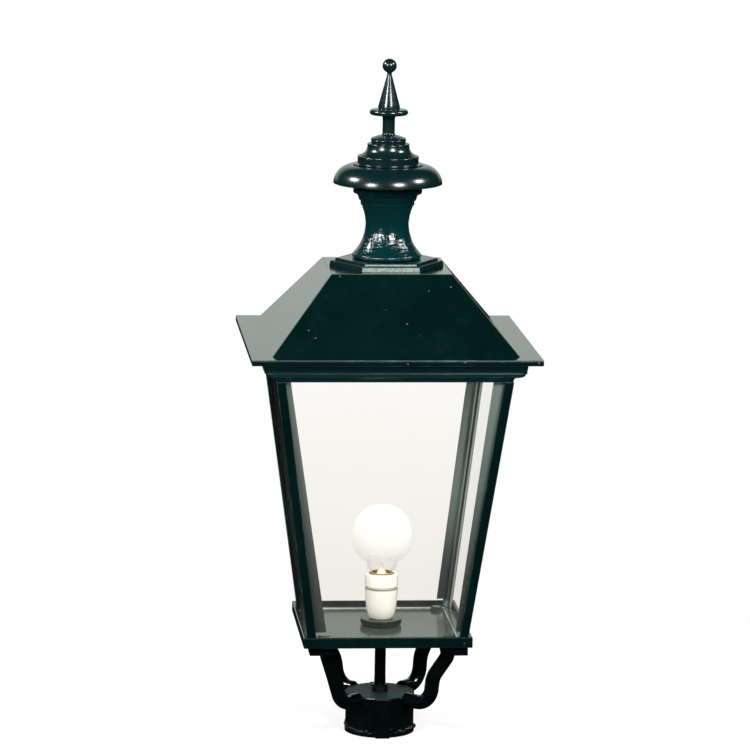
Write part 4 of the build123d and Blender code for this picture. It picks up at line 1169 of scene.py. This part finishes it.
cap_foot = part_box("vent_cap")[0].z
for bead_name, (rise, reach, radius) in CAP_BEADS.items():
    circle = []
    for k in range(BEAD_SIDES):
        angle = -2 * math.pi * k / BEAD_SIDES
        circle.append((reach + radius * math.cos(angle), rise + radius * math.sin(angle)))
    bead = lathe_mesh(f"cap_bead_{bead_name}", circle, BEAD_TURNS, cap_foot)
    bead.materials.append(paint_turned)
    new_piece(f"cap_bead_{bead_name}", bead, "roof", "green_paint")
print("fine mouldings made")

# %% [markdown]
# ## Lampholder and lamp
# The porcelain cup and its upper ring have soft glazed edges. The lamp screws into the brass
# shell inside. Its globe is the brightest thing in the picture.

# %% Lampholder and lamp
dressed("lampholder_body", "holder_cup", "porcelain", porcelain, porcelain, 0.7, 3)
dressed("lampholder_ring", "holder_upper_ring", "porcelain", porcelain, porcelain, 0.7, 3)
dressed("bulb_glass", "lamp_globe", "lamp_glass", lamp_glass, None, 0)
dressed("bulb_stem", "lamp_stem", "lamp_glass", stem_glass, None, 0)
dressed("bulb_cap", "lamp_screw_cap", "brass", bright_brass, bright_brass, 0.15)
dressed("bulb_insulator", "lamp_insulator", "black_glass", black_glass, black_glass, 0.2)
dressed("bulb_filament", "lamp_filament", "wire", lead_wire, None, 0)
dressed("bulb_tip", "lamp_tip_contact", "solder", grey_solder, None, 0)
print("lampholder and lamp dressed")

# %% [markdown]
# ## Panes and small fittings
# A pane needs only a faint chamfer, because the posts hide its edges. The nuts, pins, screws
# and rods are mostly out of sight, and some show when the roof is open or the lamp is out. One
# table gives each of them its slot, its finish and the radius of its edges.

# %% Panes
for side in ("front", "right", "back", "left"):
    dressed(f"glass_{side}", f"pane_{side}", "clear_glass", window_glass, None, 0.2, 1)

# %% Small fittings
FITTINGS = {
    "clamp_bar": ("steel", zinc_plate, 0.4), "clamp_washer": ("steel", zinc_plate, 0.15),
    "tie_rod": ("steel", zinc_plate, 0.3), "tie_rod_nut": ("steel", zinc_plate, 0.4),
    "earth_screw": ("steel", zinc_plate, 0.3), "hinge_pins": ("steel", zinc_plate, 0.3),
    "hinge_leaves": ("green_paint", paint_frame, 0), "conduit_pipe": ("pipe_paint", paint_pipe, 0.3),
    "pipe_nut_hub": ("pipe_paint", paint_pipe, 0.6), "pipe_nut_tray": ("steel", zinc_plate, 0.6),
    "pipe_nut_socket": ("steel", zinc_plate, 0.6), "set_screw_1": ("green_paint", paint_cast, 0.3),
    "set_screw_2": ("steel", zinc_plate, 0.3), "lamp_shell": ("brass", bright_brass, 0.1),
    "centre_contact": ("brass", bright_brass, 0.1), "terminal_block": ("porcelain", porcelain, 0.3),
    "terminal_screws": ("brass", bright_brass, 0.2),
}
for node, (slot, finish, width) in FITTINGS.items():
    dressed(node, f"{node}_finished", slot, finish, None, width)
